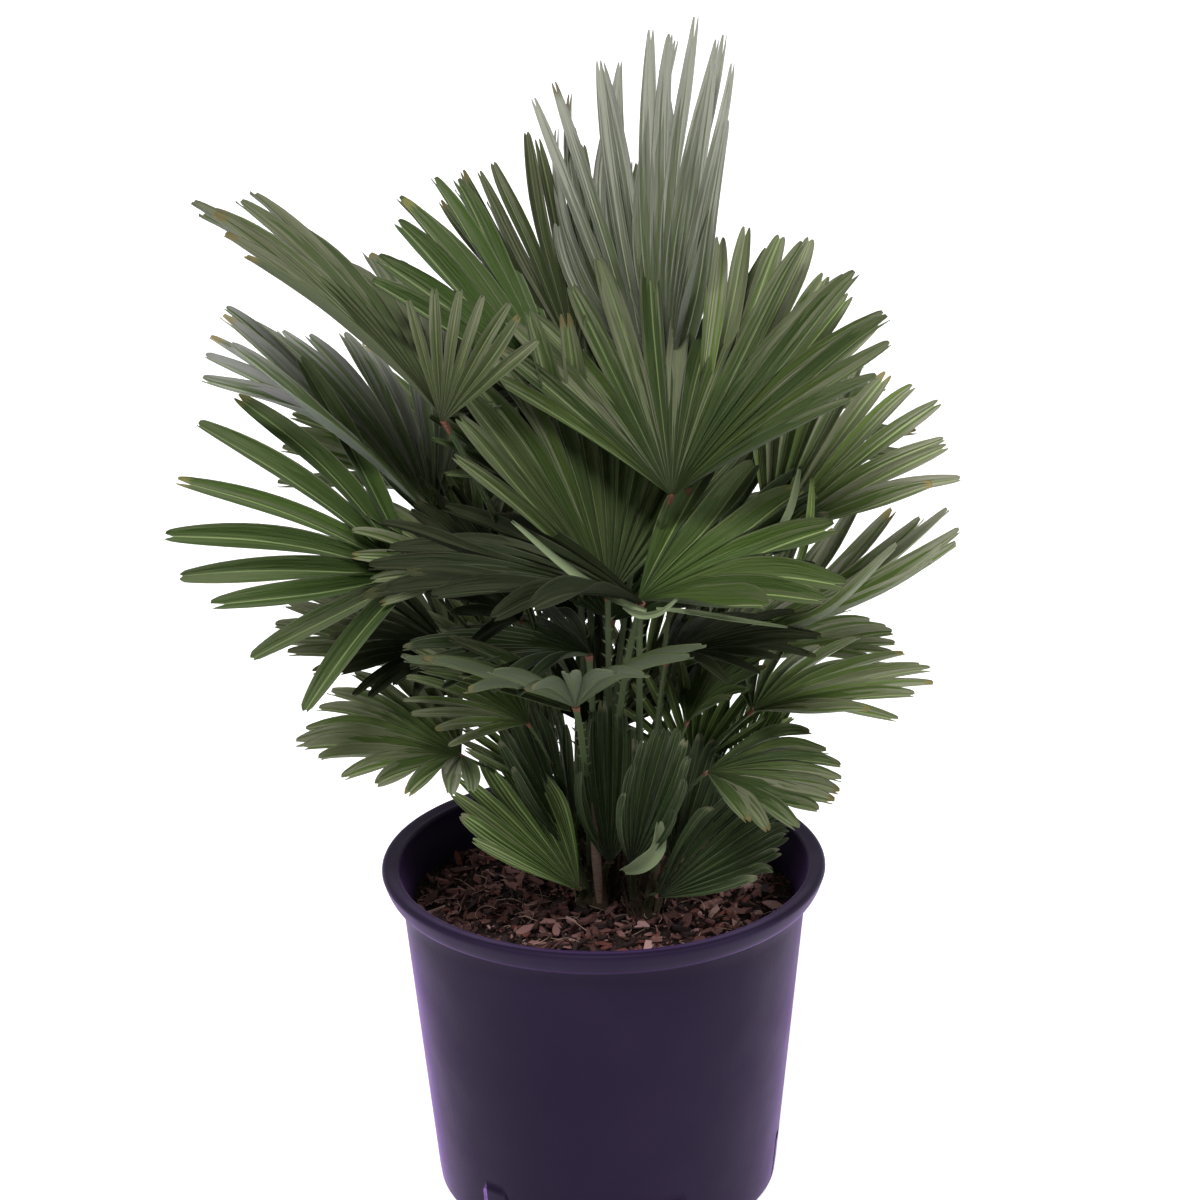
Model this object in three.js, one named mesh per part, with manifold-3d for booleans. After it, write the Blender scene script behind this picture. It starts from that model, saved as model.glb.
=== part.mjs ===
// A compact European fan palm in a 300 mm nursery pot.
// Millimetres, +Z up, the centre of the pot's underside at the origin. The front of the plant faces -Y.
import * as THREE from 'three';
import { mergeVertices } from 'three/addons/utils/BufferGeometryUtils.js';
import Module from 'manifold-3d';

const wasm = await Module();
wasm.setup();

// Pot: a squat grower's pot with a turned-down lip and six drain slots round its foot.
const POT_HEIGHT = 234;
const RIM_RADIUS = 150;
const FOOT_RADIUS = 117;
const LIP_DROP = 21;
const LIP_OVERHANG = 13;
const WALL = 3;
const POT_SIDES = 48;
const DRAIN_COUNT = 6;
const DRAIN_WIDTH = 24;
const DRAIN_HEIGHT = 27;
const DRAIN_DEPTH = 26;
const DRAIN_FIRST_BEARING = -123;

// Soil: filled to well below the rim, level under the stems and heaped a little elsewhere.
const SOIL_LEVEL = 198;
const SOIL_LEVEL_RADIUS = 50;
const SOIL_HEAP = 5;
const SOIL_SECTORS = 30;

// Every piece keeps this gap to the piece that carries it.
const GAP = 0.3;

// Foliage: blade thickness as a share of its reach, and the leaflet's outline.
const HUB_SHARE = 0.012;
const MIN_THICKNESS = 1.7;
const THICKNESS_SHARE = 0.0105;
const WIDEST_AT = 0.72;
const LEAFLET_SWELL = 1.25;
const PLEAT_SHARE = 0.3;
const ARCH = 0.04;
const STALK_FOOT_RADIUS = 3;
const STALK_HUB_RADIUS = 2.1;
const STALK_FLATNESS = 0.8;
const STALK_BEND = { out: 0.2, up: 0.62 };
const STALK_SINK = { fan: 0.03, young: 0.1 };
const STALK_SIDES = 6;
const STALK_STEPS = 6;
const FOOT_STEP = 27;

// How far a leaflet may be bent, in degrees, and how much of its free length it may keep, to stay
// clear of its neighbours. The smallest change that clears them is taken: losing its whole free
// length counts as much as a bend of KEEP_COST degrees.
const TILTS = [0, 4, -4, 8, -8, 12, -12, 16, -16, 20, -20];
const KEEPS = [1, 0.82, 0.62, 0.4, 0.2, 0.06];
const KEEP_COST = 60;

// The three short stems of the clump: centre, foot radius, top radius and height above the soil.
const STEMS = {
  stem_main: { at: [-4, 0], foot: 17, top: 11, height: 66 },
  stem_right: { at: [27, -18], foot: 12, top: 8, height: 48 },
  stem_back: { at: [-18, 33], foot: 13, top: 9, height: 56 },
};

// One row a frond: its stem, the hub where the stalk meets the blade, the blade's bearing, rise and
// roll in degrees, its reach, half its spread in degrees, how far its leaflets are cupped, how much
// shorter the outer leaflets are, how many there are, and the share of the reach where they part.
const frond = (stem, hub, bearing, rise, roll, reach, spread, cup, falloff, leaflets, part = 0.34) => (
  { stem, hub, bearing, rise, roll, reach, spread, cup, falloff, leaflets, part });

const FRONDS = {
  // The big fans that the front shows.
  top_right: frond('stem_main', [47, -30, 499], 60, 26, 2, 198, 82, 21, 0.34, 15),
  top_left: frond('stem_main', [-97, -30, 553], 122, 4, -28, 250, 74, 18, 0.34, 13),
  crown_tall: frond('stem_main', [39, 60, 539], 56, 41, 26, 253, 58, 33, 0.16, 11),
  crown_behind: frond('stem_main', [-14, 138, 544], 118, 60, 5, 165, 42, 8, 0.08, 8),
  crown_left: frond('stem_main', [-20, 76, 520], 130, 71, -29, 181, 54, -18, 0.04, 9),
  left_wide: frond('stem_main', [-121, 0, 438], 192, 7, 39, 178, 62, 17, 0.09, 8),
  left_high: frond('stem_back', [-109, 30, 466], 148, 26, -15, 214, 61, 10, 0.11, 11),
  front_left: frond('stem_main', [28, -96, 450], 168, 3, -7, 182, 80, 7, 0.12, 12),
  front_right: frond('stem_right', [24, -64, 441], 8, 8, -13, 130, 64, 11, 0.12, 10),
  centre_left: frond('stem_main', [6, -20, 428], 118, 52, -4, 195, 55, 12, 0.12, 11),
  right_high: frond('stem_main', [113, 40, 445], 7, 17, -11, 145, 72, 16, 0.13, 10),
  right_wide: frond('stem_right', [81, 10, 379], 24, 33, 15, 169, 80, -8, 0.11, 11),
  right_low: frond('stem_right', [99, -30, 351], 34, 18, 8, 125, 86, -5, 0.14, 10),
  left_low: frond('stem_back', [-92, -40, 326], 186, 2, 1, 113, 81, 9, 0.12, 10),
  front_centre: frond('stem_main', [-16, -110, 387], -91, 33, 0, 119, 74, 7, 0.05, 10),
  left_inner: frond('stem_back', [-100, 20, 379], 188, -12, 13, 84, 72, 12, 0.12, 8),
  // The fans on the far side, which the front hides.
  back_right: frond('stem_back', [55, 118, 455], 70, 28, -8, 185, 78, 12, 0.14, 11),
  back_left: frond('stem_back', [-62, 120, 440], 112, 26, 8, 185, 78, 12, 0.14, 11),
  back_middle: frond('stem_back', [0, 125, 375], 90, 8, 0, 170, 80, 12, 0.14, 11),
  back_right_low: frond('stem_right', [97, 85, 341], 42, 4, -6, 140, 78, 10, 0.14, 10),
  back_left_low: frond('stem_back', [-98, 92, 335], 138, 6, 6, 140, 78, 10, 0.14, 10),
  back_low: frond('stem_back', [8, 100, 290], 84, -4, 0, 118, 74, 10, 0.14, 9),
};

// The short leaves low in the clump: pleated, and parted only near their ends.
const YOUNG = {
  young_right: frond('stem_right', [67, -80, 329], 8, -6, -8, 93, 62, 6, 0.12, 7, 0.5),
  young_front_right: frond('stem_right', [46, -78, 228], 14, 33, -50, 86, 37, 0, 0.2, 6, 0.8),
  young_round: frond('stem_right', [14, -76, 256], 24, 67, -58, 84, 30, 0, 0.2, 5, 0.82),
  young_upright: frond('stem_main', [10, -44, 256], 90, 84, 0, 98, 17, 0, 0.2, 4, 0.8),
  young_left: frond('stem_main', [-16, -46, 231], 160, 45, 45, 106, 24, 0, 0.2, 5, 0.75),
  young_far_right: frond('stem_right', [90, 6, 288], 30, 56, -30, 70, 38, 0, 0.2, 6, 0.8),
  young_right_inner: frond('stem_right', [60, -14, 305], 88, 78, 0, 78, 60, 0, 0.2, 7, 0.4),
  young_left_inner: frond('stem_main', [-33, -20, 289], 158, 50, 35, 88, 34, 0, 0.2, 6, 0.5),
  young_back: frond('stem_back', [-40, 70, 262], 110, 48, 0, 92, 30, 0, 0.2, 5, 0.75),
  young_back_right: frond('stem_right', [60, 12, 262], 48, 50, 0, 84, 30, 0, 0.2, 5, 0.75),
};

const COLOURS = {
  pot: { color: 0x2e2540, roughness: 0.38 },
  soil: { color: 0x3a2620, roughness: 0.95 },
  stem: { color: 0x5b4029, roughness: 0.9 },
  stalk: { color: 0x5d7040, roughness: 0.55 },
  blade: { color: 0x42603a, roughness: 0.5 },
  young: { color: 0x2f5a2e, roughness: 0.45 },
};

// Seeded random numbers, so that the soil's heaps come out alike each time.
let seed = 20261;
function random() {
  seed = (seed * 16807) % 2147483647;
  return seed / 2147483647;
}

const radians = THREE.MathUtils.degToRad;
const group = new THREE.Group();

function addMesh(name, geometry, look) {
  const material = new THREE.MeshStandardMaterial({ ...COLOURS[look], metalness: 0 });
  const mesh = new THREE.Mesh(geometry, material);
  mesh.name = name;
  group.add(mesh);
}

function toSolid(geometry) {
  const bare = geometry.clone();
  bare.deleteAttribute('normal');
  bare.deleteAttribute('uv');
  const merged = mergeVertices(bare, 1e-3);
  return new wasm.Manifold(new wasm.Mesh({
    numProp: 3,
    vertProperties: new Float32Array(merged.attributes.position.array),
    triVerts: new Uint32Array(merged.index.array),
  }));
}

function toGeometry(solid) {
  const mesh = solid.getMesh();
  const geometry = new THREE.BufferGeometry();
  geometry.setAttribute('position', new THREE.BufferAttribute(new Float32Array(mesh.vertProperties), 3));
  geometry.setIndex(new THREE.BufferAttribute(new Uint32Array(mesh.triVerts), 1));
  geometry.computeVertexNormals();
  return geometry;
}

// A closed solid from a list of points and a list of triangles.
function solidFrom(points, triangles) {
  const geometry = new THREE.BufferGeometry();
  const flat = points.flatMap((p) => [p.x, p.y, p.z]);
  geometry.setAttribute('position', new THREE.BufferAttribute(new Float32Array(flat), 3));
  geometry.setIndex(triangles.flat());
  return toSolid(geometry);
}

// Pot and soil.

const NECK_RADIUS = RIM_RADIUS - LIP_OVERHANG;
const LIP_FOOT = POT_HEIGHT - LIP_DROP;
const wallRadius = (z) => THREE.MathUtils.lerp(FOOT_RADIUS, NECK_RADIUS, z / LIP_FOOT);

function lathe(profile, sides) {
  const geometry = new THREE.LatheGeometry(profile.map(([r, z]) => new THREE.Vector2(r, z)), sides);
  geometry.rotateX(Math.PI / 2);
  return toSolid(geometry);
}

function makePot() {
  const profile = [
    [0, 0],
    [FOOT_RADIUS - 2, 0],
    [FOOT_RADIUS, 2],
    [NECK_RADIUS, LIP_FOOT],
    [RIM_RADIUS - 4, LIP_FOOT + 1],
    [RIM_RADIUS - 1.5, LIP_FOOT + 6],
    [RIM_RADIUS, POT_HEIGHT - 5],
    [RIM_RADIUS - 1.5, POT_HEIGHT - 1],
    [RIM_RADIUS - 4.5, POT_HEIGHT],
    [RIM_RADIUS - 8, POT_HEIGHT - 1.5],
    [NECK_RADIUS - WALL + 1, LIP_FOOT + 2],
    [FOOT_RADIUS - WALL, WALL],
    [0, WALL],
  ];
  let pot = lathe(profile, POT_SIDES);
  for (let i = 0; i < DRAIN_COUNT; i += 1) {
    const arch = new THREE.Shape();
    const half = DRAIN_WIDTH / 2;
    arch.moveTo(-half, -4);
    arch.lineTo(half, -4);
    arch.lineTo(half * 0.8, DRAIN_HEIGHT - 8);
    arch.lineTo(half * 0.45, DRAIN_HEIGHT);
    arch.lineTo(-half * 0.45, DRAIN_HEIGHT);
    arch.lineTo(-half * 0.8, DRAIN_HEIGHT - 8);
    const slot = new THREE.ExtrudeGeometry(arch, { depth: DRAIN_DEPTH, bevelEnabled: false });
    slot.rotateX(Math.PI / 2);
    slot.translate(0, -(FOOT_RADIUS - DRAIN_DEPTH / 2), 0);
    slot.rotateZ(radians(DRAIN_FIRST_BEARING + 90 + (360 / DRAIN_COUNT) * i));
    pot = pot.subtract(toSolid(slot));
  }
  return pot;
}

function makeSoil() {
  const points = [];
  const triangles = [];
  const rings = [SOIL_LEVEL_RADIUS, 80, 106, wallRadius(SOIL_LEVEL) - WALL - 1.5];
  const sectors = SOIL_SECTORS;
  const ring = (radius, height) => {
    const start = points.length;
    for (let i = 0; i < sectors; i += 1) {
      const angle = (2 * Math.PI * i) / sectors;
      points.push(new THREE.Vector3(radius * Math.cos(angle), radius * Math.sin(angle), height(i)));
    }
    return start;
  };
  const bottom = ring(FOOT_RADIUS - WALL - 1.5, () => WALL + GAP);
  const heap = (k) => (k === 0 ? 0 : SOIL_HEAP * random());
  const tops = rings.map((radius, k) => ring(radius, () => SOIL_LEVEL + heap(k)));
  const centreTop = points.length;
  points.push(new THREE.Vector3(0, 0, SOIL_LEVEL));
  const centreBottom = points.length;
  points.push(new THREE.Vector3(0, 0, WALL + GAP));
  const levels = [...tops].reverse();
  for (let i = 0; i < sectors; i += 1) {
    const j = (i + 1) % sectors;
    triangles.push([centreBottom, bottom + j, bottom + i]);
    triangles.push([bottom + i, bottom + j, levels[0] + j], [bottom + i, levels[0] + j, levels[0] + i]);
    for (let k = 0; k + 1 < levels.length; k += 1) {
      const [outer, inner] = [levels[k], levels[k + 1]];
      triangles.push([outer + i, outer + j, inner + j], [outer + i, inner + j, inner + i]);
    }
    triangles.push([tops[0] + i, tops[0] + j, centreTop]);
  }
  return solidFrom(points, triangles);
}

// Stems.

function stemSolid(stem, grow = 0) {
  const base = SOIL_LEVEL + GAP - grow;
  const rise = stem.height + 2 * grow;
  const profile = [
    [0, base],
    [stem.foot + grow, base],
    [stem.foot * 0.92 + grow, base + rise * 0.3],
    [stem.top + grow, base + rise * 0.85],
    [stem.top * 0.45 + grow, base + rise],
    [0, base + rise],
  ];
  return lathe(profile, 14).translate([stem.at[0], stem.at[1], 0]);
}

const stemRadius = (stem, up) => THREE.MathUtils.lerp(stem.foot, stem.top, up);

// Blades.

// The blade's axis, the way across it and the way up out of it.
function bladeFrame(f) {
  const [bearing, rise, roll] = [f.bearing, f.rise, f.roll].map(radians);
  const along = new THREE.Vector3(
    Math.cos(rise) * Math.cos(bearing), Math.cos(rise) * Math.sin(bearing), Math.sin(rise));
  const level = new THREE.Vector3(Math.sin(bearing), -Math.cos(bearing), 0);
  const upright = new THREE.Vector3().crossVectors(level, along);
  const across = level.clone().multiplyScalar(Math.cos(roll)).addScaledVector(upright, Math.sin(roll));
  const normal = upright.clone().multiplyScalar(Math.cos(roll)).addScaledVector(level, -Math.sin(roll));
  return { along, across, normal };
}

// A point on the blade: its angle from the axis, its distance from the hub as a share of the
// leaflet's own reach, a step to the side and a step up out of the blade.
function bladePoint(f, frame, angle, share, side, lift, tilt = 0) {
  const turn = angle / radians(f.spread);
  const reach = f.reach * (1 - f.falloff * turn * turn);
  const cup = radians(f.cup + tilt * THREE.MathUtils.smoothstep(share, f.part, 1));
  const flat = frame.along.clone()
    .multiplyScalar(Math.cos(angle))
    .addScaledVector(frame.across, Math.sin(angle));
  const out = flat.clone().multiplyScalar(Math.cos(cup)).addScaledVector(frame.normal, Math.sin(cup));
  const up = frame.normal.clone().multiplyScalar(Math.cos(cup)).addScaledVector(flat, -Math.sin(cup));
  const beside = new THREE.Vector3().crossVectors(out, up);
  const arch = 4 * ARCH * f.reach * share * (1 - share);
  return new THREE.Vector3(...f.hub)
    .addScaledVector(out, reach * share)
    .addScaledVector(up, arch + lift)
    .addScaledVector(beside, side);
}

const thicknessOf = (f) => Math.max(MIN_THICKNESS, THICKNESS_SHARE * f.reach);

// Leaflets first to last of one blade, as one closed solid. Each leaflet's entry in ends says how far
// it is tilted and how much of its free length it keeps. grow thickens the solid for the gap tests.
function bladeSolid(f, { first = 0, last = f.leaflets - 1, ends, grow = 0, free = true }) {
  const frame = bladeFrame(f);
  const half = thicknessOf(f) / 2 + grow;
  const step = (2 * radians(f.spread)) / f.leaflets;
  const splitWidth = f.reach * f.part * Math.sin(step / 2);
  const pleat = splitWidth * PLEAT_SHARE;
  const points = [];
  const triangles = [];
  const pair = (angle, share, side, lift, tilt) => {
    points.push(bladePoint(f, frame, angle, share, side, lift + half, tilt));
    points.push(bladePoint(f, frame, angle, share, side, lift - half, tilt));
    return points.length - 2;
  };
  // Two neighbouring pairs make a strip of upper and lower face, or a strip of edge.
  const faces = (a, b, c, d) => {
    triangles.push([a, b, c], [a, c, d]);
    triangles.push([a + 1, c + 1, b + 1], [a + 1, d + 1, c + 1]);
  };
  const wedge = (a, b, c) => {
    triangles.push([a, b, c], [a + 1, c + 1, b + 1]);
  };
  const edge = (a, b) => {
    triangles.push([a, a + 1, b + 1], [a, b + 1, b]);
  };
  const angleOf = (i) => -radians(f.spread) + step * i;
  const hub = pair(0, HUB_SHARE, 0, 0, 0);
  const clefts = [];
  for (let i = first; i <= last + 1; i += 1) clefts.push(pair(angleOf(i), f.part, 0, pleat, 0));
  for (let i = first; i <= last; i += 1) {
    const left = clefts[i - first];
    const right = clefts[i - first + 1];
    const angle = angleOf(i + 0.5);
    const rib = pair(angle, f.part, 0, -pleat, 0);
    wedge(hub, rib, left);
    wedge(hub, right, rib);
    if (!free) {
      edge(rib, left);
      edge(right, rib);
      continue;
    }
    const { tilt, keep } = ends[i];
    const tipShare = f.part + (1 - f.part) * keep;
    const midShare = f.part + WIDEST_AT * (1 - f.part) * keep;
    const width = splitWidth * LEAFLET_SWELL * THREE.MathUtils.lerp(0.75, 1, keep);
    const midLeft = pair(angle, midShare, -width, pleat, tilt);
    const midRib = pair(angle, midShare, 0, -pleat * 0.4, tilt);
    const midRight = pair(angle, midShare, width, pleat, tilt);
    const tip = pair(angle, tipShare, 0, 0, tilt);
    faces(left, rib, midRib, midLeft);
    faces(rib, right, midRight, midRib);
    wedge(midLeft, midRib, tip);
    wedge(midRib, midRight, tip);
    edge(midLeft, left);
    edge(tip, midLeft);
    edge(right, midRight);
    edge(midRight, tip);
  }
  edge(clefts[0], hub);
  edge(hub, clefts[clefts.length - 1]);
  return solidFrom(points, triangles);
}

// Stalks.

// A stalk runs on a little past the hub. A big fan's is cut there, just clear of the blade that it
// carries, and a young leaf is one piece with its stalk.
function stalkCurve(f, foot) {
  const start = new THREE.Vector3(...foot);
  const sink = Object.values(YOUNG).includes(f) ? STALK_SINK.young : STALK_SINK.fan;
  const end = new THREE.Vector3(...f.hub).addScaledVector(bladeFrame(f).along, sink * f.reach);
  const bend = new THREE.Vector3(
    THREE.MathUtils.lerp(start.x, end.x, STALK_BEND.out),
    THREE.MathUtils.lerp(start.y, end.y, STALK_BEND.out),
    THREE.MathUtils.lerp(start.z, end.z, STALK_BEND.up));
  return new THREE.QuadraticBezierCurve3(start, bend, end);
}

function stalkSolid(f, foot, grow = 0) {
  const curve = stalkCurve(f, foot);
  const points = [];
  const triangles = [];
  const side = new THREE.Vector3(-(f.hub[1] - foot[1]), f.hub[0] - foot[0], 0).normalize();
  for (let k = 0; k <= STALK_STEPS; k += 1) {
    const t = k / STALK_STEPS;
    const middle = curve.getPoint(t);
    const ahead = curve.getTangent(t);
    const up = new THREE.Vector3().crossVectors(ahead, side).normalize();
    const thin = Math.min(1, f.reach / 110);
    const taper = Math.min(1, t * 1.6);
    const radius = THREE.MathUtils.lerp(STALK_FOOT_RADIUS, STALK_HUB_RADIUS, taper) * thin + grow;
    for (let i = 0; i < STALK_SIDES; i += 1) {
      const angle = (2 * Math.PI * i) / STALK_SIDES;
      points.push(middle.clone()
        .addScaledVector(side, radius * Math.cos(angle))
        .addScaledVector(up, radius * STALK_FLATNESS * Math.sin(angle)));
    }
  }
  const last = STALK_STEPS * STALK_SIDES;
  for (let i = 0; i < STALK_SIDES; i += 1) {
    const j = (i + 1) % STALK_SIDES;
    for (let k = 0; k < STALK_STEPS; k += 1) {
      const a = k * STALK_SIDES;
      const b = a + STALK_SIDES;
      triangles.push([a + i, a + j, b + j], [a + i, b + j, b + i]);
    }
    if (i > 0 && i < STALK_SIDES - 1) {
      triangles.push([0, i + 1, i], [last, last + i, last + i + 1]);
    }
  }
  return solidFrom(points, triangles);
}

// The bearing of each foot round its stem: towards its hub, with neighbours pushed apart.
function spreadBearings(own, stem) {
  const turn = 2 * Math.PI;
  const step = radians(FOOT_STEP);
  const rows = own
    .map(([name, f]) => ({ name, bearing: Math.atan2(f.hub[1] - stem.at[1], f.hub[0] - stem.at[0]) }))
    .sort((a, b) => a.bearing - b.bearing);
  for (let round = 0; round < 60; round += 1) {
    rows.forEach((row, i) => {
      const next = rows[(i + 1) % rows.length];
      const ahead = next.bearing + (i + 1 === rows.length ? turn : 0) - row.bearing;
      const push = Math.max(0, step - ahead) / 2;
      row.bearing -= push;
      next.bearing += push;
    });
  }
  return Object.fromEntries(rows.map((row) => [row.name, row.bearing]));
}

// The foot of each stalk: steep fronds leave their stem high up, spreading ones low down.
function placeFeet(fronds) {
  const feet = {};
  for (const [stemName, stem] of Object.entries(STEMS)) {
    const lean = ([, f]) => (
      Math.hypot(f.hub[0] - stem.at[0], f.hub[1] - stem.at[1]) / (f.hub[2] - SOIL_LEVEL));
    const own = Object.entries(fronds)
      .filter(([, f]) => f.stem === stemName)
      .sort((a, b) => lean(a) - lean(b));
    const bearings = spreadBearings(own, stem);
    own.forEach(([name], rank) => {
      const up = THREE.MathUtils.lerp(0.8, 0.14, own.length > 1 ? rank / (own.length - 1) : 0.5);
      const bearing = bearings[name];
      const radius = stemRadius(stem, up) - 2;
      feet[name] = [
        stem.at[0] + radius * Math.cos(bearing),
        stem.at[1] + radius * Math.sin(bearing),
        SOIL_LEVEL + stem.height * up,
      ];
    });
  }
  return feet;
}

// Clearance between pieces.

// A solid with its box and, for a piece that others are cut by, the function that makes it grown.
const entry = (solid, grown) => ({ solid, box: solid.boundingBox(), grown });

const boxesMeet = (a, b) => [0, 1, 2].every((k) => a.min[k] <= b.max[k] && b.min[k] <= a.max[k]);

function meets(solid, others) {
  const box = solid.boundingBox();
  return others.some((other) => boxesMeet(box, other.box) && !solid.intersect(other.solid).isEmpty());
}

// The biggest piece of a solid that its neighbours have cut.
function mainPiece(solid) {
  return solid.decompose().sort((a, b) => b.volume() - a.volume())[0];
}

// Cuts a blade clear of what its leaflets still run into.
function cutClear(solid, others) {
  let cut = solid;
  for (const other of others) {
    if (other.grown && meets(cut, [other])) cut = cut.subtract(other.grown());
  }
  return mainPiece(cut);
}

const straight = (f) => Array.from({ length: f.leaflets }, () => ({ tilt: 0, keep: 1 }));

const costOf = (end) => Math.abs(end.tilt) + KEEP_COST * (1 - end.keep);
const TRIES = KEEPS
  .flatMap((keep) => TILTS.map((tilt) => ({ tilt, keep })))
  .sort((a, b) => costOf(a) - costOf(b));

// Each leaflet is laid where the table puts it, or bent up or down past what is in its way, or else
// it is shorter.
function clearEnds(f, others) {
  const ends = straight(f);
  for (let i = 0; i < f.leaflets; i += 1) {
    const fit = TRIES.find((end) => {
      ends[i] = end;
      return !meets(bladeSolid(f, { first: i, last: i, ends, grow: GAP / 2 }), others);
    });
    ends[i] = fit ?? TRIES.at(-1);
  }
  return ends;
}

const pot = makePot();
const soil = makeSoil();
addMesh('pot', toGeometry(pot), 'pot');
addMesh('soil', toGeometry(soil), 'soil');

const placed = [entry(pot), entry(soil)];
for (const [name, stem] of Object.entries(STEMS)) {
  const solid = stemSolid(stem);
  addMesh(name, toGeometry(solid), 'stem');
  placed.push(entry(solid, () => stemSolid(stem, GAP)));
}

// The inner part of every blade, where the leaflets are joined, and then every stalk, cut clear of
// its stem and its blade.
const ALL = { ...FRONDS, ...YOUNG };
const feet = placeFeet(ALL);
const discs = {};
const stalks = {};
for (const [name, f] of Object.entries(ALL)) {
  discs[name] = entry(
    bladeSolid(f, { free: false, grow: GAP / 2 }),
    () => bladeSolid(f, { free: false, grow: GAP }));
}
for (const [name, f] of Object.entries(ALL)) {
  let stalk = stalkSolid(f, feet[name]);
  for (const stem of Object.values(STEMS)) stalk = stalk.subtract(stemSolid(stem, GAP));
  for (const earlier of Object.keys(stalks)) {
    stalk = stalk.subtract(stalkSolid(ALL[earlier], feet[earlier], GAP));
  }
  if (name in FRONDS) stalk = stalk.subtract(bladeSolid(f, { free: false, grow: GAP }));
  stalks[name] = mainPiece(stalk);
  placed.push(entry(stalks[name], () => stalkSolid(f, feet[name], GAP)));
}

for (const [name, f] of Object.entries(ALL)) {
  const otherDiscs = Object.keys(discs).filter((key) => key !== name).map((key) => discs[key]);
  const own = name in YOUNG ? stalks[name] : null;
  const others = [...otherDiscs, ...placed.filter((piece) => piece.solid !== own)];
  const ends = clearEnds(f, others);
  const blade = cutClear(bladeSolid(f, { ends }), others);
  placed.push(entry(blade, () => bladeSolid(f, { ends, grow: GAP })));
  if (name in YOUNG) {
    addMesh(`leaf_${name}`, toGeometry(blade.add(stalks[name])), 'young');
  } else {
    addMesh(`fan_${name}`, toGeometry(blade), 'blade');
    addMesh(`stalk_${name}`, toGeometry(stalks[name]), 'stalk');
  }
}

export default group;
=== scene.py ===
import math

import bpy
import numpy as np
from mathutils import Matrix, Vector


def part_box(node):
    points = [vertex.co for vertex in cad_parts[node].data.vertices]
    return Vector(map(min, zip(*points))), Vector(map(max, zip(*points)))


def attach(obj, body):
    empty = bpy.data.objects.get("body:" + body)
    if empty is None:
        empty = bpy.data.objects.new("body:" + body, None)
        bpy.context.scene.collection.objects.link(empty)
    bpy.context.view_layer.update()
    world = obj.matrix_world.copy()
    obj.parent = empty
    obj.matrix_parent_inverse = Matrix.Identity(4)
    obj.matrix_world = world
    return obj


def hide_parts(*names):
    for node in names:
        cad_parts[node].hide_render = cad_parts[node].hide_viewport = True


# A compact European fan palm in its nursery pot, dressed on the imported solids.
# Lengths are in millimetres until a mesh is made, then in metres. The front of the plant faces -Y.
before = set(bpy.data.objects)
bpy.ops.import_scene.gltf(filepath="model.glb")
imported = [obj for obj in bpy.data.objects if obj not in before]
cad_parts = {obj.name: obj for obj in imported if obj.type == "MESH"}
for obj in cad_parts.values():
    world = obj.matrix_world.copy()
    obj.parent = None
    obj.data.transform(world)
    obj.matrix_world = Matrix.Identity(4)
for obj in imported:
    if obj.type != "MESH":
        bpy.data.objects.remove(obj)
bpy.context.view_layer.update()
METRES = 0.001
rng = np.random.default_rng(20261)

# The pot's height and rim come from the frame, and the rest repeats the construction's values.
pot_low, pot_high = (np.array(corner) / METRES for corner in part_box("pot"))
POT_HEIGHT = pot_high[2]
RIM_RADIUS = (pot_high[0] - pot_low[0]) / 2
FOOT_RADIUS = 117
NECK_RADIUS = RIM_RADIUS - 13
LIP_FOOT = POT_HEIGHT - 21
WALL = 3
SOIL_LEVEL = 198
# The slots round the foot, a little taller than the construction's and turned a little, so that two
# of them show at the picture's lower edge.
DRAIN_COUNT = 6
DRAIN_WIDTH = 24
DRAIN_HEIGHT = 34
DRAIN_FIRST_BEARING = -129

# The stems of the clump: centre, foot radius, top radius and height above the soil.
MAIN, RIGHT, BACK = "stem_main", "stem_right", "stem_back"
STEMS = {
    MAIN: {"at": (-4, 0), "foot": 17, "top": 11, "height": 66},
    RIGHT: {"at": (27, -18), "foot": 12, "top": 8, "height": 48},
    BACK: {"at": (-18, 33), "foot": 13, "top": 9, "height": 56},
}

# The rule that every blade and stalk grows by.
ARCH = 0.04
STALK_FOOT_RADIUS = 3.0
STALK_HUB_RADIUS = 2.1
STALK_FLATNESS = 0.8
STALK_BEND_OUT = 0.2
STALK_BEND_UP = 0.62
FOOT_STEP = 27

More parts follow.
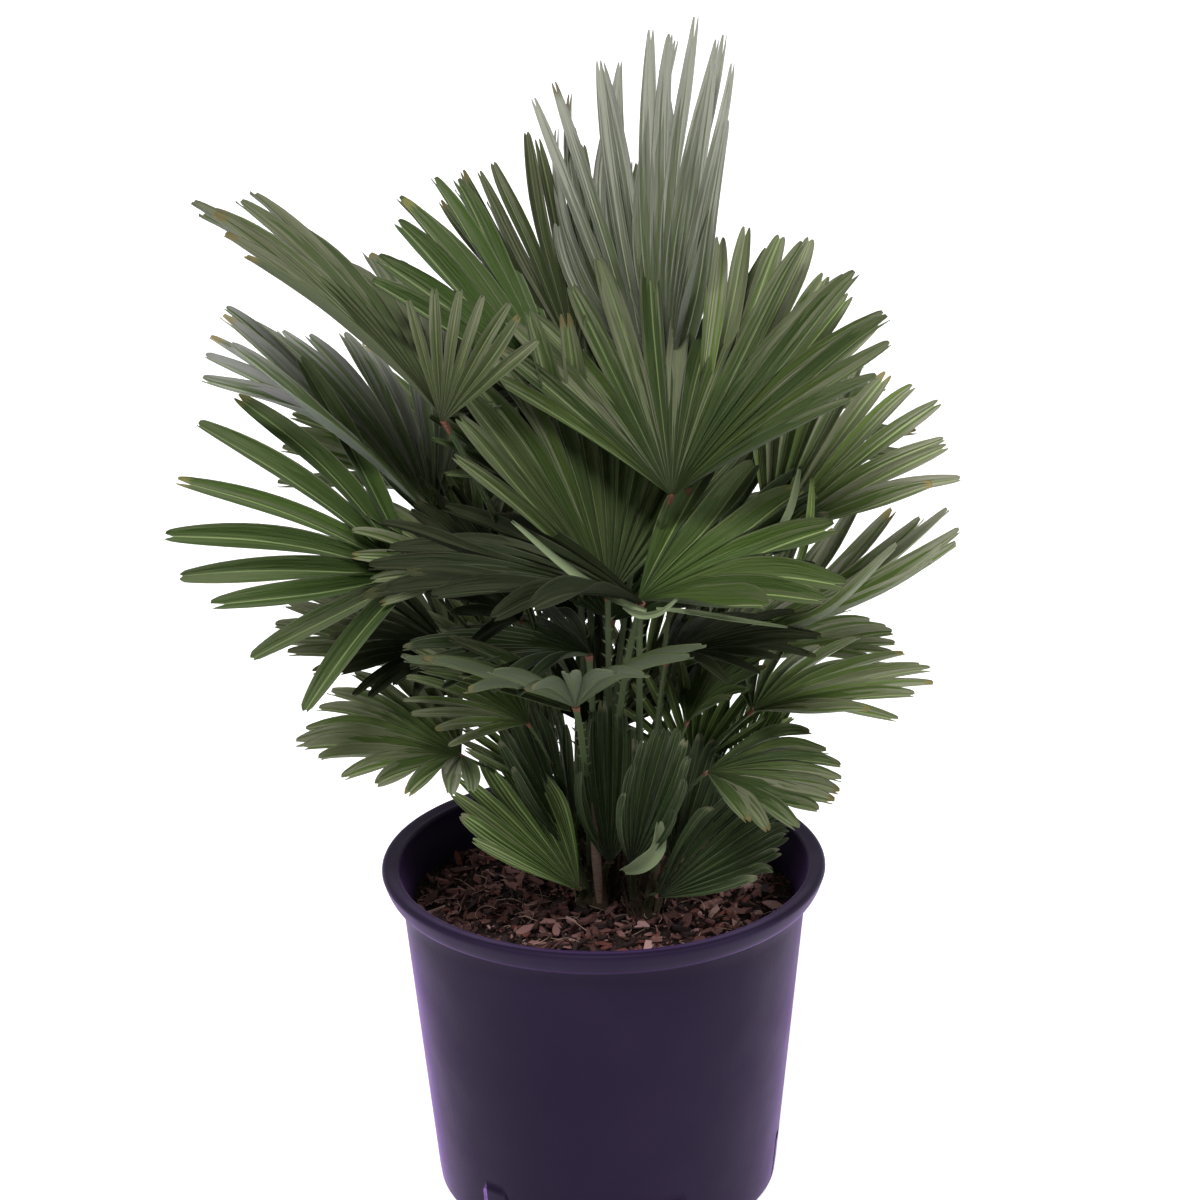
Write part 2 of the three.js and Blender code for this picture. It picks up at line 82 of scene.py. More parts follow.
# One row a frond: stem, hub, bearing, rise and roll in degrees, reach, half its spread in degrees,
# cupping in degrees, how much shorter the outer leaflets are, how many leaflets, the share of the
# reach where they part, the droop of the tips in millimetres (they rise where it is below zero), how
# far the blade's two sides curl up in degrees, and the palette. Then, where they aren't all 0, which
# of its chance growths it takes, how far it is turned in its own plane in degrees, and how far its
# tips lean in. The aims of the fans in front began as a computed fit to each fan's hub and tips in
# the photo. Where a row names a growth other than 0, a computed search against the photo's outline
# picked it and refined the row's aim.
FRONDS = {
    # The big fans that the front shows.
    "top_right": (MAIN, (47, -30, 499), 66, 23, 2, 204, 84, 21, 0.3, 18, 0.4, 1, 8, "olive", 2509, 1),
    "top_left": (MAIN, (-97, -30, 553), 121, 3, -28, 241, 79, 18, 0.34, 19, 0.44, 3, -2, "grey", 7350, -3),
    "crown_tall": (MAIN, (47, 60, 536),
        58, 39, 27, 258, 58, 33, 0.2, 15, 0.38, 0, 0, "silver", 7698, 2, 0.36),
    "crown_behind": (MAIN, (-14, 138, 544),
        112, 60, 3, 160, 42, 8, 0.08, 11, 0.45, 2, 0, "grey", 214, 0, 0.15),
    "crown_left": (MAIN, (-20, 76, 520), 131, 71, -29, 192, 50, -18, 0.04, 11, 0.41, 1, 0, "deep", 8946, -2),
    "left_wide": (MAIN, (-121, 0, 438), 192, 7, 41, 179, 64, 17, 0.09, 9, 0.31, 2, 6, "deep", 5129, 2),
    "left_high": (BACK, (-109, 30, 466), 150, 26, -15, 207, 57, 10, 0.11, 15, 0.44, 3, 6, "felted", 7160, 8),
    "front_left": (MAIN, (28, -96, 450), 168, 3, -7, 182, 58, 7, 0.12, 12, 0.46, 5, 8, "dark", 0, -22),
    "front_right": (RIGHT, (24, -64, 441), 8, 8, -13, 135, 62, 11, 0.1, 7, 0.44, 2, 8, "fresh"),
    "centre_left": (MAIN, (6, -20, 428), 118, 52, -4, 195, 55, 12, 0.26, 14, 0.5, 1, 6, "olive", 0, 5),
    "right_high": (MAIN, (113, 40, 445), 10, 16, -35, 146, 51, 16, 0.13, 12, 0.48, 2, 8, "light", 612, -27),
    "right_wide": (RIGHT, (81, 10, 379), 24, 21, 15, 166, 67, -8, 0.11, 13, 0.43, -32, 8, "light", 9039, -5),
    "right_low": (RIGHT, (99, -30, 351), 30, 15, 7, 123, 78, -5, 0.14, 13, 0.37, 2, 8, "mixed", 7043, 4),
    "left_low": (BACK, (-92, -40, 326), 191, 6, 5, 110, 95, 9, 0.12, 15, 0.46, 4, 4, "mixed", 2829, 3),
    "front_centre": (MAIN, (-16, -110, 387), -91, 31, 0, 119, 66, 0, 0.05, 11, 0.42, 0, 20, "olive", 0, 12),
    "left_inner": (BACK, (-100, 20, 379), 188, -11, 15, 85, 72, 12, 0.12, 12, 0.4, 2, 8, "dark", 6854),
    # The fans on the far side.
    "back_right": (BACK, (55, 118, 455), 70, 16, -8, 185, 78, 12, 0.14, 16, 0.44, 3, 8, "olive", 413),
    "back_left": (BACK, (-62, 120, 440), 111, 15, 8, 186, 78, 12, 0.14, 16, 0.45, 3, 8, "mixed", 9502, -1),
    "back_middle": (BACK, (0, 125, 375), 90, 8, 0, 170, 80, 12, 0.14, 16, 0.44, 4, 8, "grey"),
    "back_right_low": (RIGHT, (97, 85, 341), 52, -4, -6, 118, 78, 10, 0.14, 14, 0.44, 3, 8, "mixed"),
    "back_left_low": (BACK, (-98, 92, 335), 138, 9, 6, 140, 78, 10, 0.14, 14, 0.44, 3, 8, "grey", 4066, 2),
    "back_low": (BACK, (8, 100, 290), 84, -4, 0, 118, 74, 10, 0.14, 13, 0.44, 3, 8, "mixed"),
}

# The short leaves low in the clump: pleated, and parted only near their ends.
YOUNG = {
    "young_right": (RIGHT, (67, -80, 329),
        -4, -7, -10, 91, 66, 6, 0.16, 10, 0.56, 2, 12, "olive", 6223, 19, 0.15),
    "young_front_right": (RIGHT, (35, -78, 240),
        10, 44, -50, 100, 33, 0, 0.3, 10, 0.93, 1, 26, "young", 0, 12, 0.25),
    "young_round": (RIGHT, (18, -78, 262),
        24, 74, -58, 98, 33, 0, 0.4, 10, 0.94, 0, 34, "young", 0, 2, 0.42),
    "young_upright": (MAIN, (4, -46, 250), 90, 84, 0, 112, 32, 0, 0.35, 10, 0.94, 0, 26, "young", 0, 0, 0.5),
    "young_left": (MAIN, (-16, -46, 231), 160, 45, 45, 116, 34, 0, 0.3, 8, 0.6, 1, 20, "striped", 0, 0, 0.2),
    "young_far_right": (RIGHT, (90, 6, 288),
        30, 56, -30, 70, 38, 0, 0.35, 10, 0.88, 1, 20, "striped", 0, 0, 0.4),
    "young_right_inner": (RIGHT, (60, -14, 305), 88, 78, 0, 78, 60, 0, 0.2, 12, 0.42, 2, 8, "fresh"),
    "young_left_inner": (MAIN, (-33, -20, 289), 158, 50, 35, 88, 34, 0, 0.2, 10, 0.5, 2, 8, "mixed"),
    "young_back": (BACK, (-40, 70, 262), 110, 48, 0, 92, 30, 0, 0.35, 9, 0.86, 1, 24, "young", 0, 0, 0.4),
    "young_back_right": (RIGHT, (60, 12, 262),
        48, 50, 0, 84, 30, 0, 0.35, 9, 0.86, 1, 24, "young", 0, 0, 0.4),
}

# Smaller fans that crowd inside the clump, in the room between the fans above.
INNER = {
    "inner_front": (MAIN, (-6, -52, 400), 176, -4, -6, 120, 78, 6, 0.12, 14, 0.36, 6, 4, "young"),
    "inner_front_right": (RIGHT, (42, -42, 392), 6, 4, 6, 104, 76, 6, 0.12, 13, 0.36, 5, 4, "dark"),
    "inner_left": (BACK, (-52, -6, 408), 176, 40, 10, 112, 76, 8, 0.12, 13, 0.36, 4, 4, "dark"),
    "inner_top_right": (RIGHT, (58, 4, 492), 50, 50, -52, 188, 24, 4, 0.1, 7, 0.55, 2, 4, "mixed", 9327, 1),
    "inner_crown": (BACK, (38, 66, 528),
        107, 52, 10, 242, 16, 8, 0.05, 6, 0.4, 0, 0, "silver", 6616, 2, 0.05),
    "inner_top_left": (MAIN, (-98, -37, 552), 92, 70, 0, 88, 37, 6, 0.1, 7, 0.42, 2, 8, "grey", 0, 19),
    "inner_left_high": (BACK, (-84, 12, 430), 162, 34, 16, 96, 76, 8, 0.12, 11, 0.4, 3, 4, "mixed"),
    "inner_left_low": (MAIN, (-48, -34, 346), 170, 22, 12, 96, 70, 8, 0.12, 12, 0.36, 3, 4, "mixed"),
    "inner_middle": (MAIN, (8, 22, 396), 64, 40, 0, 112, 80, 6, 0.12, 14, 0.36, 3, 4, "young"),
    "inner_right": (RIGHT, (62, 20, 420), 30, 34, -6, 112, 76, 8, 0.12, 13, 0.36, 3, 4, "young"),
    "inner_right_low": (RIGHT, (56, -36, 346), 20, 40, 12, 86, 72, 6, 0.12, 12, 0.36, 3, 4, "fresh"),
    "inner_back": (BACK, (-14, 66, 380), 100, 34, 0, 110, 78, 8, 0.12, 13, 0.36, 3, 4, "dark"),
    "inner_back_left": (BACK, (-58, 56, 330), 140, 30, 6, 96, 74, 8, 0.12, 12, 0.36, 3, 4, "mixed"),
    "inner_back_right": (BACK, (30, 64, 330), 50, 34, -6, 92, 74, 8, 0.12, 12, 0.36, 3, 4, "mixed"),
    "inner_low": (MAIN, (2, 10, 320), 80, 52, 0, 90, 70, 6, 0.12, 12, 0.36, 3, 4, "dark"),
    "inner_young_right": (RIGHT, (46, -44, 246),
        40, 70, -40, 92, 32, 0, 0.35, 8, 0.9, 1, 26, "young", 0, 0, 0.4),
    "inner_young_left": (MAIN, (-22, -34, 252),
        150, 66, 30, 110, 30, 0, 0.3, 8, 0.6, 1, 20, "young", 0, 0, 0.25),
    "inner_high": (BACK, (-40, 40, 470), 150, 46, -6, 120, 66, 8, 0.12, 13, 0.36, 3, 4, "deep"),
}

# Leaflets that bend their own way: their fan, route, half width, the way their upper side faces, and
# whether their pale felted side shows.
STRAPS = [
    ("front_left", [(30, -112, 451), (14, -112, 457), (-10, -108, 471), (-54, -84, 502)],
     2.8, (0.3, -1, 0.3), True),
    ("front_left", [(14, -114, 455), (24, -116, 450), (36, -116, 451), (48, -112, 459)],
     2.2, (0, -1, 0.4), True),
    ("front_left", [(34, -104, 450), (56, -104, 447), (84, -102, 441), (117, -98, 434)],
     2.0, (0, -0.7, 1), True),
    ("front_centre", [(-18, -110, 386), (-50, -116, 402), (-84, -118, 412), (-112, -120, 418)],
     7, (0.2, -0.7, 1), False),
    ("front_centre", [(-18, -110, 386), (-44, -108, 408), (-70, -104, 422), (-94, -100, 431)],
     7, (0.5, -0.8, 1), False),
    ("crown_tall", [(48, 58, 540), (66, 40, 612), (74, 26, 672), (84, 18, 731)],
     6, (0.2, -1, 0.4), False),
    ("right_wide", [(128, -40, 520), (122, -44, 494), (110, -46, 470), (104, -44, 446)],
     2.6, (-0.4, -1, 0.2), True),
    ("right_wide", [(136, -40, 514), (134, -44, 484), (124, -48, 452), (104, -48, 428)],
     2.8, (-0.4, -1, 0.2), False),
    ("young_round", [(12, -84, 262), (22, -92, 270), (34, -96, 284), (36, -96, 302)],
     7, (0.6, -1, 0.2), True),
]

FIELDS = ("stem", "hub", "bearing", "rise", "roll", "reach", "spread", "cup", "falloff", "leaflets",
          "part", "droop", "curl", "palette", "growth", "swing", "close")
FRONDS, YOUNG, INNER = (
    {name: {"growth": 0, "swing": 0, "close": 0, **dict(zip(FIELDS, row))} for name, row in table.items()}
    for table in (FRONDS, YOUNG, INNER))

# Each palette: five shades of the upper faces, the underside, the midribs, the margins and the tips,
# in thousandths of full red, green and blue.
PALETTES = {
    "olive": [(38, 59, 15), (30, 49, 13), (46, 63, 20), (44, 67, 15), (125, 135, 80), (57, 73, 39),
              (114, 151, 58), (87, 93, 53), (104, 88, 34)],
    "grey": [(59, 74, 29), (45, 64, 21), (76, 87, 42), (54, 74, 23), (139, 143, 93), (70, 85, 46),
             (152, 180, 88), (128, 133, 84), (130, 111, 46)],
    "deep": [(44, 78, 17), (36, 62, 14), (57, 87, 26), (49, 87, 17), (92, 112, 54), (68, 86, 49),
             (165, 214, 88), (133, 150, 85), (165, 164, 56)],
    "mixed": [(71, 105, 28), (54, 87, 18), (117, 135, 67), (85, 131, 28), (211, 217, 148),
              (94, 116, 63), (221, 278, 116), (176, 194, 106), (188, 170, 63)],
    "silver": [(114, 128, 84), (81, 100, 52), (152, 163, 123), (67, 90, 33), (257, 263, 218),
               (123, 133, 104), (269, 291, 205), (207, 215, 173), (152, 133, 85)],
    # The dark palette is painted shade: greens darkened far below a leaf's own, for the fans that sit in
    # shade inside and under the crown.
    "dark": [(9, 13, 4), (11, 16, 5), (14, 18, 7), (11, 17, 4), (26, 30, 15), (12, 16, 7), (33, 41, 19),
             (36, 42, 24), (38, 41, 17)],
    "fresh": [(38, 67, 11), (29, 53, 9), (47, 72, 16), (41, 72, 11), (69, 81, 36), (41, 56, 23),
              (168, 219, 78), (88, 107, 47), (96, 93, 27)],
    "young": [(21, 37, 9), (15, 29, 8), (27, 45, 13), (21, 40, 9), (49, 62, 32), (37, 48, 26),
              (92, 114, 61), (129, 142, 97), (109, 114, 64)],
    "striped": [(82, 143, 29), (62, 117, 21), (101, 160, 38), (87, 157, 27), (161, 192, 90),
                (91, 121, 58), (334, 407, 186), (255, 281, 170), (218, 222, 122)],
    # The light palette is painted light: greens brightened so that the fans on the right look well lit.
    "light": [(100, 139, 44), (75, 116, 27), (165, 180, 103), (120, 175, 44), (296, 289, 229),
              (132, 154, 96), (309, 370, 179), (247, 258, 164), (264, 226, 96)],
    # The felted palette is partly the felt's own grey and partly painted light: greens brightened so that
    # the high fan on the left looks lit though the fan above shades it.
    "felted": [(113, 158, 62), (86, 130, 40), (187, 202, 151), (134, 195, 62), (335, 324, 331),
               (149, 174, 141), (352, 420, 238), (282, 294, 223), (298, 254, 141)],
}
FELT_COLOUR = (150, 185, 100)
# How glossy and how downy a palette is, where it isn't like most.
SHINE = {"silver": (0.16, 0.2), "dark": (0.09, 0.01)}
MOST_SHINE = (0.16, 0.05)
# The material slots after the five shades: the palette's other four, the felt, and a ladder of greens
# from painted shade at the heart of a blade, near its hub, to its pale end.
UNDER, RIB, MARGIN, TIP, FELT, HUB_SHADE, HUB_HALF_SHADE, HAZE, MIST, PALE = range(5, 15)


# Materials.

def new_material(name, colour, roughness, specular, sheen=0.0):
    material = bpy.data.materials.new(name)
    material.use_nodes = True
    set_shader(material, Base_Color=(*colour, 1), Roughness=roughness, Specular_IOR_Level=specular,
               Sheen_Weight=sheen)
    return material


def shader_of(material):
    return material.node_tree.nodes["Principled BSDF"]


def set_inputs(node, **values):
    for key, value in values.items():
        node.inputs[key.replace("_", " ")].default_value = value


def set_shader(material, **values):
    set_inputs(shader_of(material), **values)


def add_node(tree, kind, **values):
    node = tree.nodes.new("ShaderNode" + kind)
    set_inputs(node, **values)
    return node


def add_streaks(material, vector, stretch, scale, detail):
    """A noise pattern over the places that a socket gives, stretched by a vector."""
    tree = material.node_tree
    mapping = add_node(tree, "Mapping", Scale=stretch)
    pattern = add_node(tree, "TexNoise", Scale=scale, Detail=detail)
    tree.links.new(vector, mapping.inputs["Vector"])
    tree.links.new(mapping.outputs["Vector"], pattern.inputs["Vector"])
    return pattern


def add_noise(material, scale, detail, stretch=(1, 1, 1)):
    place = add_node(material.node_tree, "TexCoord")
    return add_streaks(material, place.outputs["Object"], stretch, scale, detail)


def add_bump(material, pattern, strength, distance):
    """Relief from a pattern, on top of the relief that the material has already."""
    links = material.node_tree.links
    bump = add_node(material.node_tree, "Bump", Strength=strength, Distance=distance)
    normal = shader_of(material).inputs["Normal"]
    if normal.is_linked:
        links.new(normal.links[0].from_socket, bump.inputs["Normal"])
    links.new(pattern.outputs["Fac"], bump.inputs["Height"])
    links.new(bump.outputs["Normal"], normal)


def add_ramp(material, pattern, stops, target="Base Color"):
    """Colours, or grey values, that follow a pattern."""
    ramp = add_node(material.node_tree, "ValToRGB")
    elements = ramp.color_ramp.elements
    elements.remove(elements[1])
    for i, (place, colour) in enumerate(stops):
        element = elements[0] if i == 0 else elements.new(place)
        element.position = place
        element.color = (*colour, 1)
    material.node_tree.links.new(pattern.outputs["Fac"], ramp.inputs["Fac"])
    material.node_tree.links.new(ramp.outputs["Color"], shader_of(material).inputs[target])


def leaf_material(name, colour, roughness, specular, sheen):
    """A fibrous leaf skin: fine streaks along the blade, from the place across and along it."""
    material = new_material(name, colour, roughness, specular, sheen)
    set_shader(material, Specular_Tint=(0.95, 1, 0.78, 1))
    place = add_node(material.node_tree, "UVMap")
    place.uv_map = "Leaf"
    streak = add_streaks(material, place.outputs["UV"], (0.62, 0.022, 1), 1, 4)
    add_bump(material, streak, 0.8, 0.0014)
    add_bump(material, add_noise(material, 700, 3), 0.3, 0.0005)
    gloss = add_node(material.node_tree, "MapRange", To_Min=roughness - 0.14, To_Max=roughness + 0.16)
    links = material.node_tree.links
    links.new(streak.outputs["Fac"], gloss.inputs["Value"])
    links.new(gloss.outputs["Result"], shader_of(material).inputs["Roughness"])
    return material


def palette_materials(key):
    """The materials of one palette, in the order of the slots."""
    shades = np.array([*PALETTES[key], FELT_COLOUR]) / 1000
    plain, grey = shades[0], shades[4]
    # The ladder's first two greens are the plain one darkened, as painted shade near the hub; the rest go
    # from it towards the grey.
    ladder = [0.6 * plain, 0.79 * plain] + [lerp(plain, grey, share) for share in (0.25, 0.5, 0.78)]
    return [leaf_material(f"leaf_{key}_{i}", tuple(shade), 0.44 + 0.05 * (i % 3),
                          *SHINE.get(key, MOST_SHINE)) for i, shade in enumerate([*shades, *ladder])]


def pot_material():
    material = new_material("pot_violet_plastic", (0.011, 0.007, 0.02), 0.5, specular=0.07, sheen=0.5)
    set_shader(material, Specular_Tint=(0.88, 0.74, 1, 1), Sheen_Tint=(0.5, 0.24, 0.85, 1),
               Sheen_Roughness=0.3)
    add_ramp(material, add_noise(material, 9, 5),
             [(0.3, (0.0095, 0.006, 0.018)), (0.55, (0.011, 0.007, 0.02)), (0.75, (0.014, 0.009, 0.024))])
    add_ramp(material, add_noise(material, 26, 6), [(0.3, [0.42] * 3), (0.7, [0.54] * 3)], "Roughness")
    add_bump(material, add_noise(material, 420, 3), 0.12, 0.0006)
    add_bump(material, add_noise(material, 14, 2), 0.18, 0.004)
    return material


def soil_material():
    material = new_material("soil_dark", (0.02, 0.012, 0.01), 0.95, specular=0.15)
    add_ramp(material, add_noise(material, 160, 6),
             [(0.3, (0.008, 0.005, 0.004)), (0.55, (0.022, 0.013, 0.011)), (0.75, (0.05, 0.03, 0.024))])
    add_bump(material, add_noise(material, 300, 5), 0.9, 0.004)
    return material


def bark_material(name, colour, roughness=0.85, relief=0.8):
    material = new_material(name, colour, roughness, specular=0.25)
    add_bump(material, add_noise(material, 260, 5, (1, 1, 3)), relief, 0.0015)
    return material


# Meshes.

def link_object(name, data):
    made = bpy.data.objects.new(name, data)
    bpy.context.scene.collection.objects.link(made)
    return made


def add_piece(name, points, quads=(), triangles=(), materials=(), quad_slots=None, triangle_slots=None,
              sharp=None, places=None):
    """A mesh object from points in millimetres, with a material slot for each face."""
    quads = np.asarray(quads, int).reshape(-1, 4)
    triangles = np.asarray(triangles, int).reshape(-1, 3)
    mesh = bpy.data.meshes.new(name)
    mesh.vertices.add(len(points))
    mesh.vertices.foreach_set("co", (np.asarray(points) * METRES).astype(np.float32).ravel())
    mesh.loops.add(quads.size + triangles.size)
    mesh.loops.foreach_set("vertex_index", np.concatenate([quads.ravel(), triangles.ravel()]))
    mesh.polygons.add(len(quads) + len(triangles))
    sizes = np.concatenate([np.full(len(quads), 4), np.full(len(triangles), 3)])
    mesh.polygons.foreach_set("loop_start", np.concatenate([[0], np.cumsum(sizes)[:-1]]))
    mesh.polygons.foreach_set("use_smooth", np.ones(len(sizes), bool))
    for material in materials:
        mesh.materials.append(material)
    slots = [np.zeros(len(part), int) if given is None else np.asarray(given, int).ravel()
             for part, given in ((quads, quad_slots), (triangles, triangle_slots))]
    mesh.polygons.foreach_set("material_index", np.concatenate(slots))
    if places is not None:
        corners = np.concatenate([quads.ravel(), triangles.ravel()])
        layer = mesh.uv_layers.new(name="Leaf")
        layer.data.foreach_set("uv", np.asarray(places, np.float32)[corners].ravel())
    mesh.update(calc_edges=True)
    mesh.validate()
    if sharp is not None:
        mesh.set_sharp_from_angle(angle=math.radians(sharp))
    return link_object(name, mesh)


def finish_piece(piece, slot, *nodes):
    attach(piece, "root")
    if nodes:
        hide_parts(*nodes)


def unit(vectors):
    return vectors / np.linalg.norm(vectors, axis=-1, keepdims=True)


def smoothstep(value, low, high):
    t = np.clip((value - low) / (high - low), 0, 1)
    return t * t * (3 - 2 * t)


def lerp(a, b, t):
    return a + (b - a) * t


def ring_angles(sides):
    return np.arange(sides) * 2 * math.pi / sides


def outward_at(bearing):
    """The level direction at a bearing in radians."""
    return np.array([math.cos(bearing), math.sin(bearing), 0])


# Blades.

def blade_frame(f):
    """The directions along and across a blade, and the one that its upper side faces."""
    bearing, rise, roll = (math.radians(f[key]) for key in ("bearing", "rise", "roll"))
    along = np.array([math.cos(rise) * math.cos(bearing), math.cos(rise) * math.sin(bearing),
                      math.sin(rise)])
    level = np.array([math.sin(bearing), -math.cos(bearing), 0])
    upright = np.cross(level, along)
    across = level * math.cos(roll) + upright * math.sin(roll)
    normal = upright * math.cos(roll) - level * math.sin(roll)
    return along, across, normal


# Columns across half a leaflet, from its midrib to its edge, and the height of its fine veins there.
COLUMNS = np.array([0, 0.06, 0.19, 0.36, 0.55, 0.74, 0.94, 1.0])
VEINS = np.array([0.3, 0.22, -0.1, 0.14, -0.1, 0.16, -0.04, 0.06])
ROWS = np.array([0.012, 0.07, 0.13, 0.19, 0.25, 0.31, 0.37, 0.43, 0.49, 0.55, 0.61, 0.67, 0.73, 0.79, 0.85,
                 0.9, 0.94, 0.968, 0.987, 1.0])
# From this row on the two halves of a leaflet part along its midrib.
SPLIT_ROW = 15
# The columns of faces that take the midrib's, a vein's and the margin's colour.
RIB_COLUMN, VEIN_COLUMN, MARGIN_COLUMN = 0, 3, 6
# How wide a leaflet is past the cleft, from there to its tip, in shares of its width at the cleft.
FREE = [0, 0.12, 0.3, 0.48, 0.66, 0.82, 0.94, 1]
BREADTH = [1, 1.08, 1.17, 1.2, 1.14, 0.96, 0.7, 0.5]
# The front of the plant, which leaflets turn their faces a little towards.
TOWARDS = np.array([0, -0.94, 0.34])
LEAF_THICKNESS = 0.5
# How deep a leaflet's V is, before it parts from its neighbours and at its tip.
WEB_FOLD = 0.56
TIP_FOLD = 0.33


def cut_in_two(corners, turned, slant):
    """A four-cornered face as two triangles: one on its near edge and one on its far edge."""
    a, b, c, d = corners
    pair = [(a, b, c), (a, c, d)] if slant else [(a, b, d), (b, c, d)]
    return [triangle[::-1] for triangle in pair] if turned else pair


def leaflet_template():
    """The triangles of a leaflet, and the side, row, column and half that each one is part of."""
    rows, columns = len(ROWS), len(COLUMNS)
    number = np.arange(2 * 2 * rows * columns).reshape(2, 2, rows, columns)
    number[:, 1, :SPLIT_ROW, 0] = number[:, 0, :SPLIT_ROW, 0]
    triangles, kinds = [], []
    for half in (0, 1):
        for row in range(rows - 1):
            following = min(row + 1, rows - 2)
            for column in range(columns - 1):
                for side in (0, 1):
                    corners = (number[side, half, row, column], number[side, half, row, column + 1],
                               number[side, half, row + 1, column + 1], number[side, half, row + 1, column])
                    triangles += cut_in_two(corners, (half + side) % 2 == 0, column % 2)
                    kinds += [(side, row, column, half), (side, following, column, half)]
            # The outer edge, and the inner one where the tip is split in two.
            walls = [(columns - 1, 0)] + ([(0, 1)] if row >= SPLIT_ROW - 1 else [])
            for column, inward in walls:
                corners = (number[0, half, row, column], number[0, half, row + 1, column],
                           number[1, half, row + 1, column], number[1, half, row, column])
                triangles += cut_in_two(corners, (half + inward) % 2 == 0, 0)
                kinds += [(0, row, VEIN_COLUMN, half)] * 2
        for row, far in ((0, 0), (rows - 1, 1)):
            for column in range(columns - 1):
                corners = (number[0, half, row, column], number[0, half, row, column + 1],
                           number[1, half, row, column + 1], number[1, half, row, column])
                triangles += cut_in_two(corners, (half + far) % 2 == 1, 0)
                kinds += [(0, row, VEIN_COLUMN, half)] * 2
    return np.array(triangles), np.array(kinds)


LEAFLET_TRIANGLES, LEAFLET_KINDS = leaflet_template()


def shape_leaflet(middle, side, lift, width, fold, split):
    """The points of one leaflet about its midrib, folded in a V, with its tip split in two points."""
    grid = np.zeros((2, 2, len(ROWS), len(COLUMNS), 3))
    gap = np.clip((ROWS - split) / (1 - split), 0, 1)
    last = np.interp(split, ROWS, width)
    inner = 0.34 * last * gap
    outer = np.where(gap > 0, lerp(last, 0.62 * last, gap ** 1.6), width)
    bow = 0.1 * 4 * COLUMNS * (1 - COLUMNS)
    height = (fold[:, None] * (2 * COLUMNS - 1) - bow) * outer[:, None]
    veins = VEINS[None, :] * np.clip(outer / 6, 0.12, 1)[:, None]
    for half, sign in ((0, -1), (1, 1)):
        offset = sign * (inner[:, None] + (outer - inner)[:, None] * COLUMNS[None, :])
        surface = (middle[:, None, :] + side[:, None, :] * offset[:, :, None]
                   + lift[:, None, :] * (height + veins)[:, :, None])
        shell = lift[:, None, :] * (LEAF_THICKNESS / 2)
        grid[0, half] = surface + shell
        grid[1, half] = surface - shell
    return grid.reshape(-1, 3)


def leaflet_places(width, reach):
    """Where each point of a leaflet lies across and along it, for its streaks."""
    places = np.zeros((2, 2, len(ROWS), len(COLUMNS), 2))
    for half, sign in ((0, -1), (1, 1)):
        places[:, half, :, :, 0] = sign * COLUMNS * width.max()
        places[:, half, :, :, 1] = (ROWS * reach)[:, None]
    return places.reshape(-1, 2)


def deal_slots(palette, part, dice):
    """The material slots of one leaflet's faces: its own green, darker in streaks near the hub as
    painted shade and greyer in streaks near the tip, with its midrib, veins, margins and tip."""
    silver, striped = palette == "silver", palette == "striped"
    side_of, row_of, column_of, half_of = LEAFLET_KINDS.T
    share = ROWS[row_of]
    # Each strip of faces along the leaflet changes its colour at places of its own.
    strip = half_of * len(COLUMNS) + column_of
    strips = 2 * len(COLUMNS)
    shade = dice.choice(5, p=[0.32, 0.24, 0.18, 0.16, 0.1])
    slot = np.full(len(LEAFLET_TRIANGLES), shade)
    steps = [HAZE, MIST, PALE]
    change = dice.uniform(0.4, 1.0, strips)
    if silver:
        slot[:] = 3
        steps = [1, 0, 2, 4]
        change = dice.uniform(0.24, 0.55, strips)
    for step in steps:
        later = share > change[strip]
        slot[later] = step
        change = change + dice.uniform(0.05, 0.2, strips)
    # Painted shade: each strip is darker from the hub out to a share of its own, less far on leaflets that
    # part early.
    dark = dice.uniform(0.08, 0.5, strips) * min(1, part / 0.4)
    upper = side_of == 0
    if not silver and dice.random() < 0.6:
        slot[upper & (column_of == 2)] = (shade + 1) % 5
    slot[share < dark[strip]] = HUB_HALF_SHADE
    slot[share < 0.6 * dark[strip]] = HUB_SHADE
    under = side_of == 1
    slot[under] = UNDER
    slot[under & ((column_of < 2) | (column_of == MARGIN_COLUMN))] = HAZE
    slot[upper & (column_of == RIB_COLUMN) & (share > 0.06)] = RIB
    slot[upper & (column_of == MARGIN_COLUMN) & (share > part * 0.9)] = MARGIN
    if striped:
        slot[upper & (column_of == VEIN_COLUMN)] = RIB
    if dice.random() < 0.22:
        slot[row_of >= len(ROWS) - 3] = TIP
    return slot


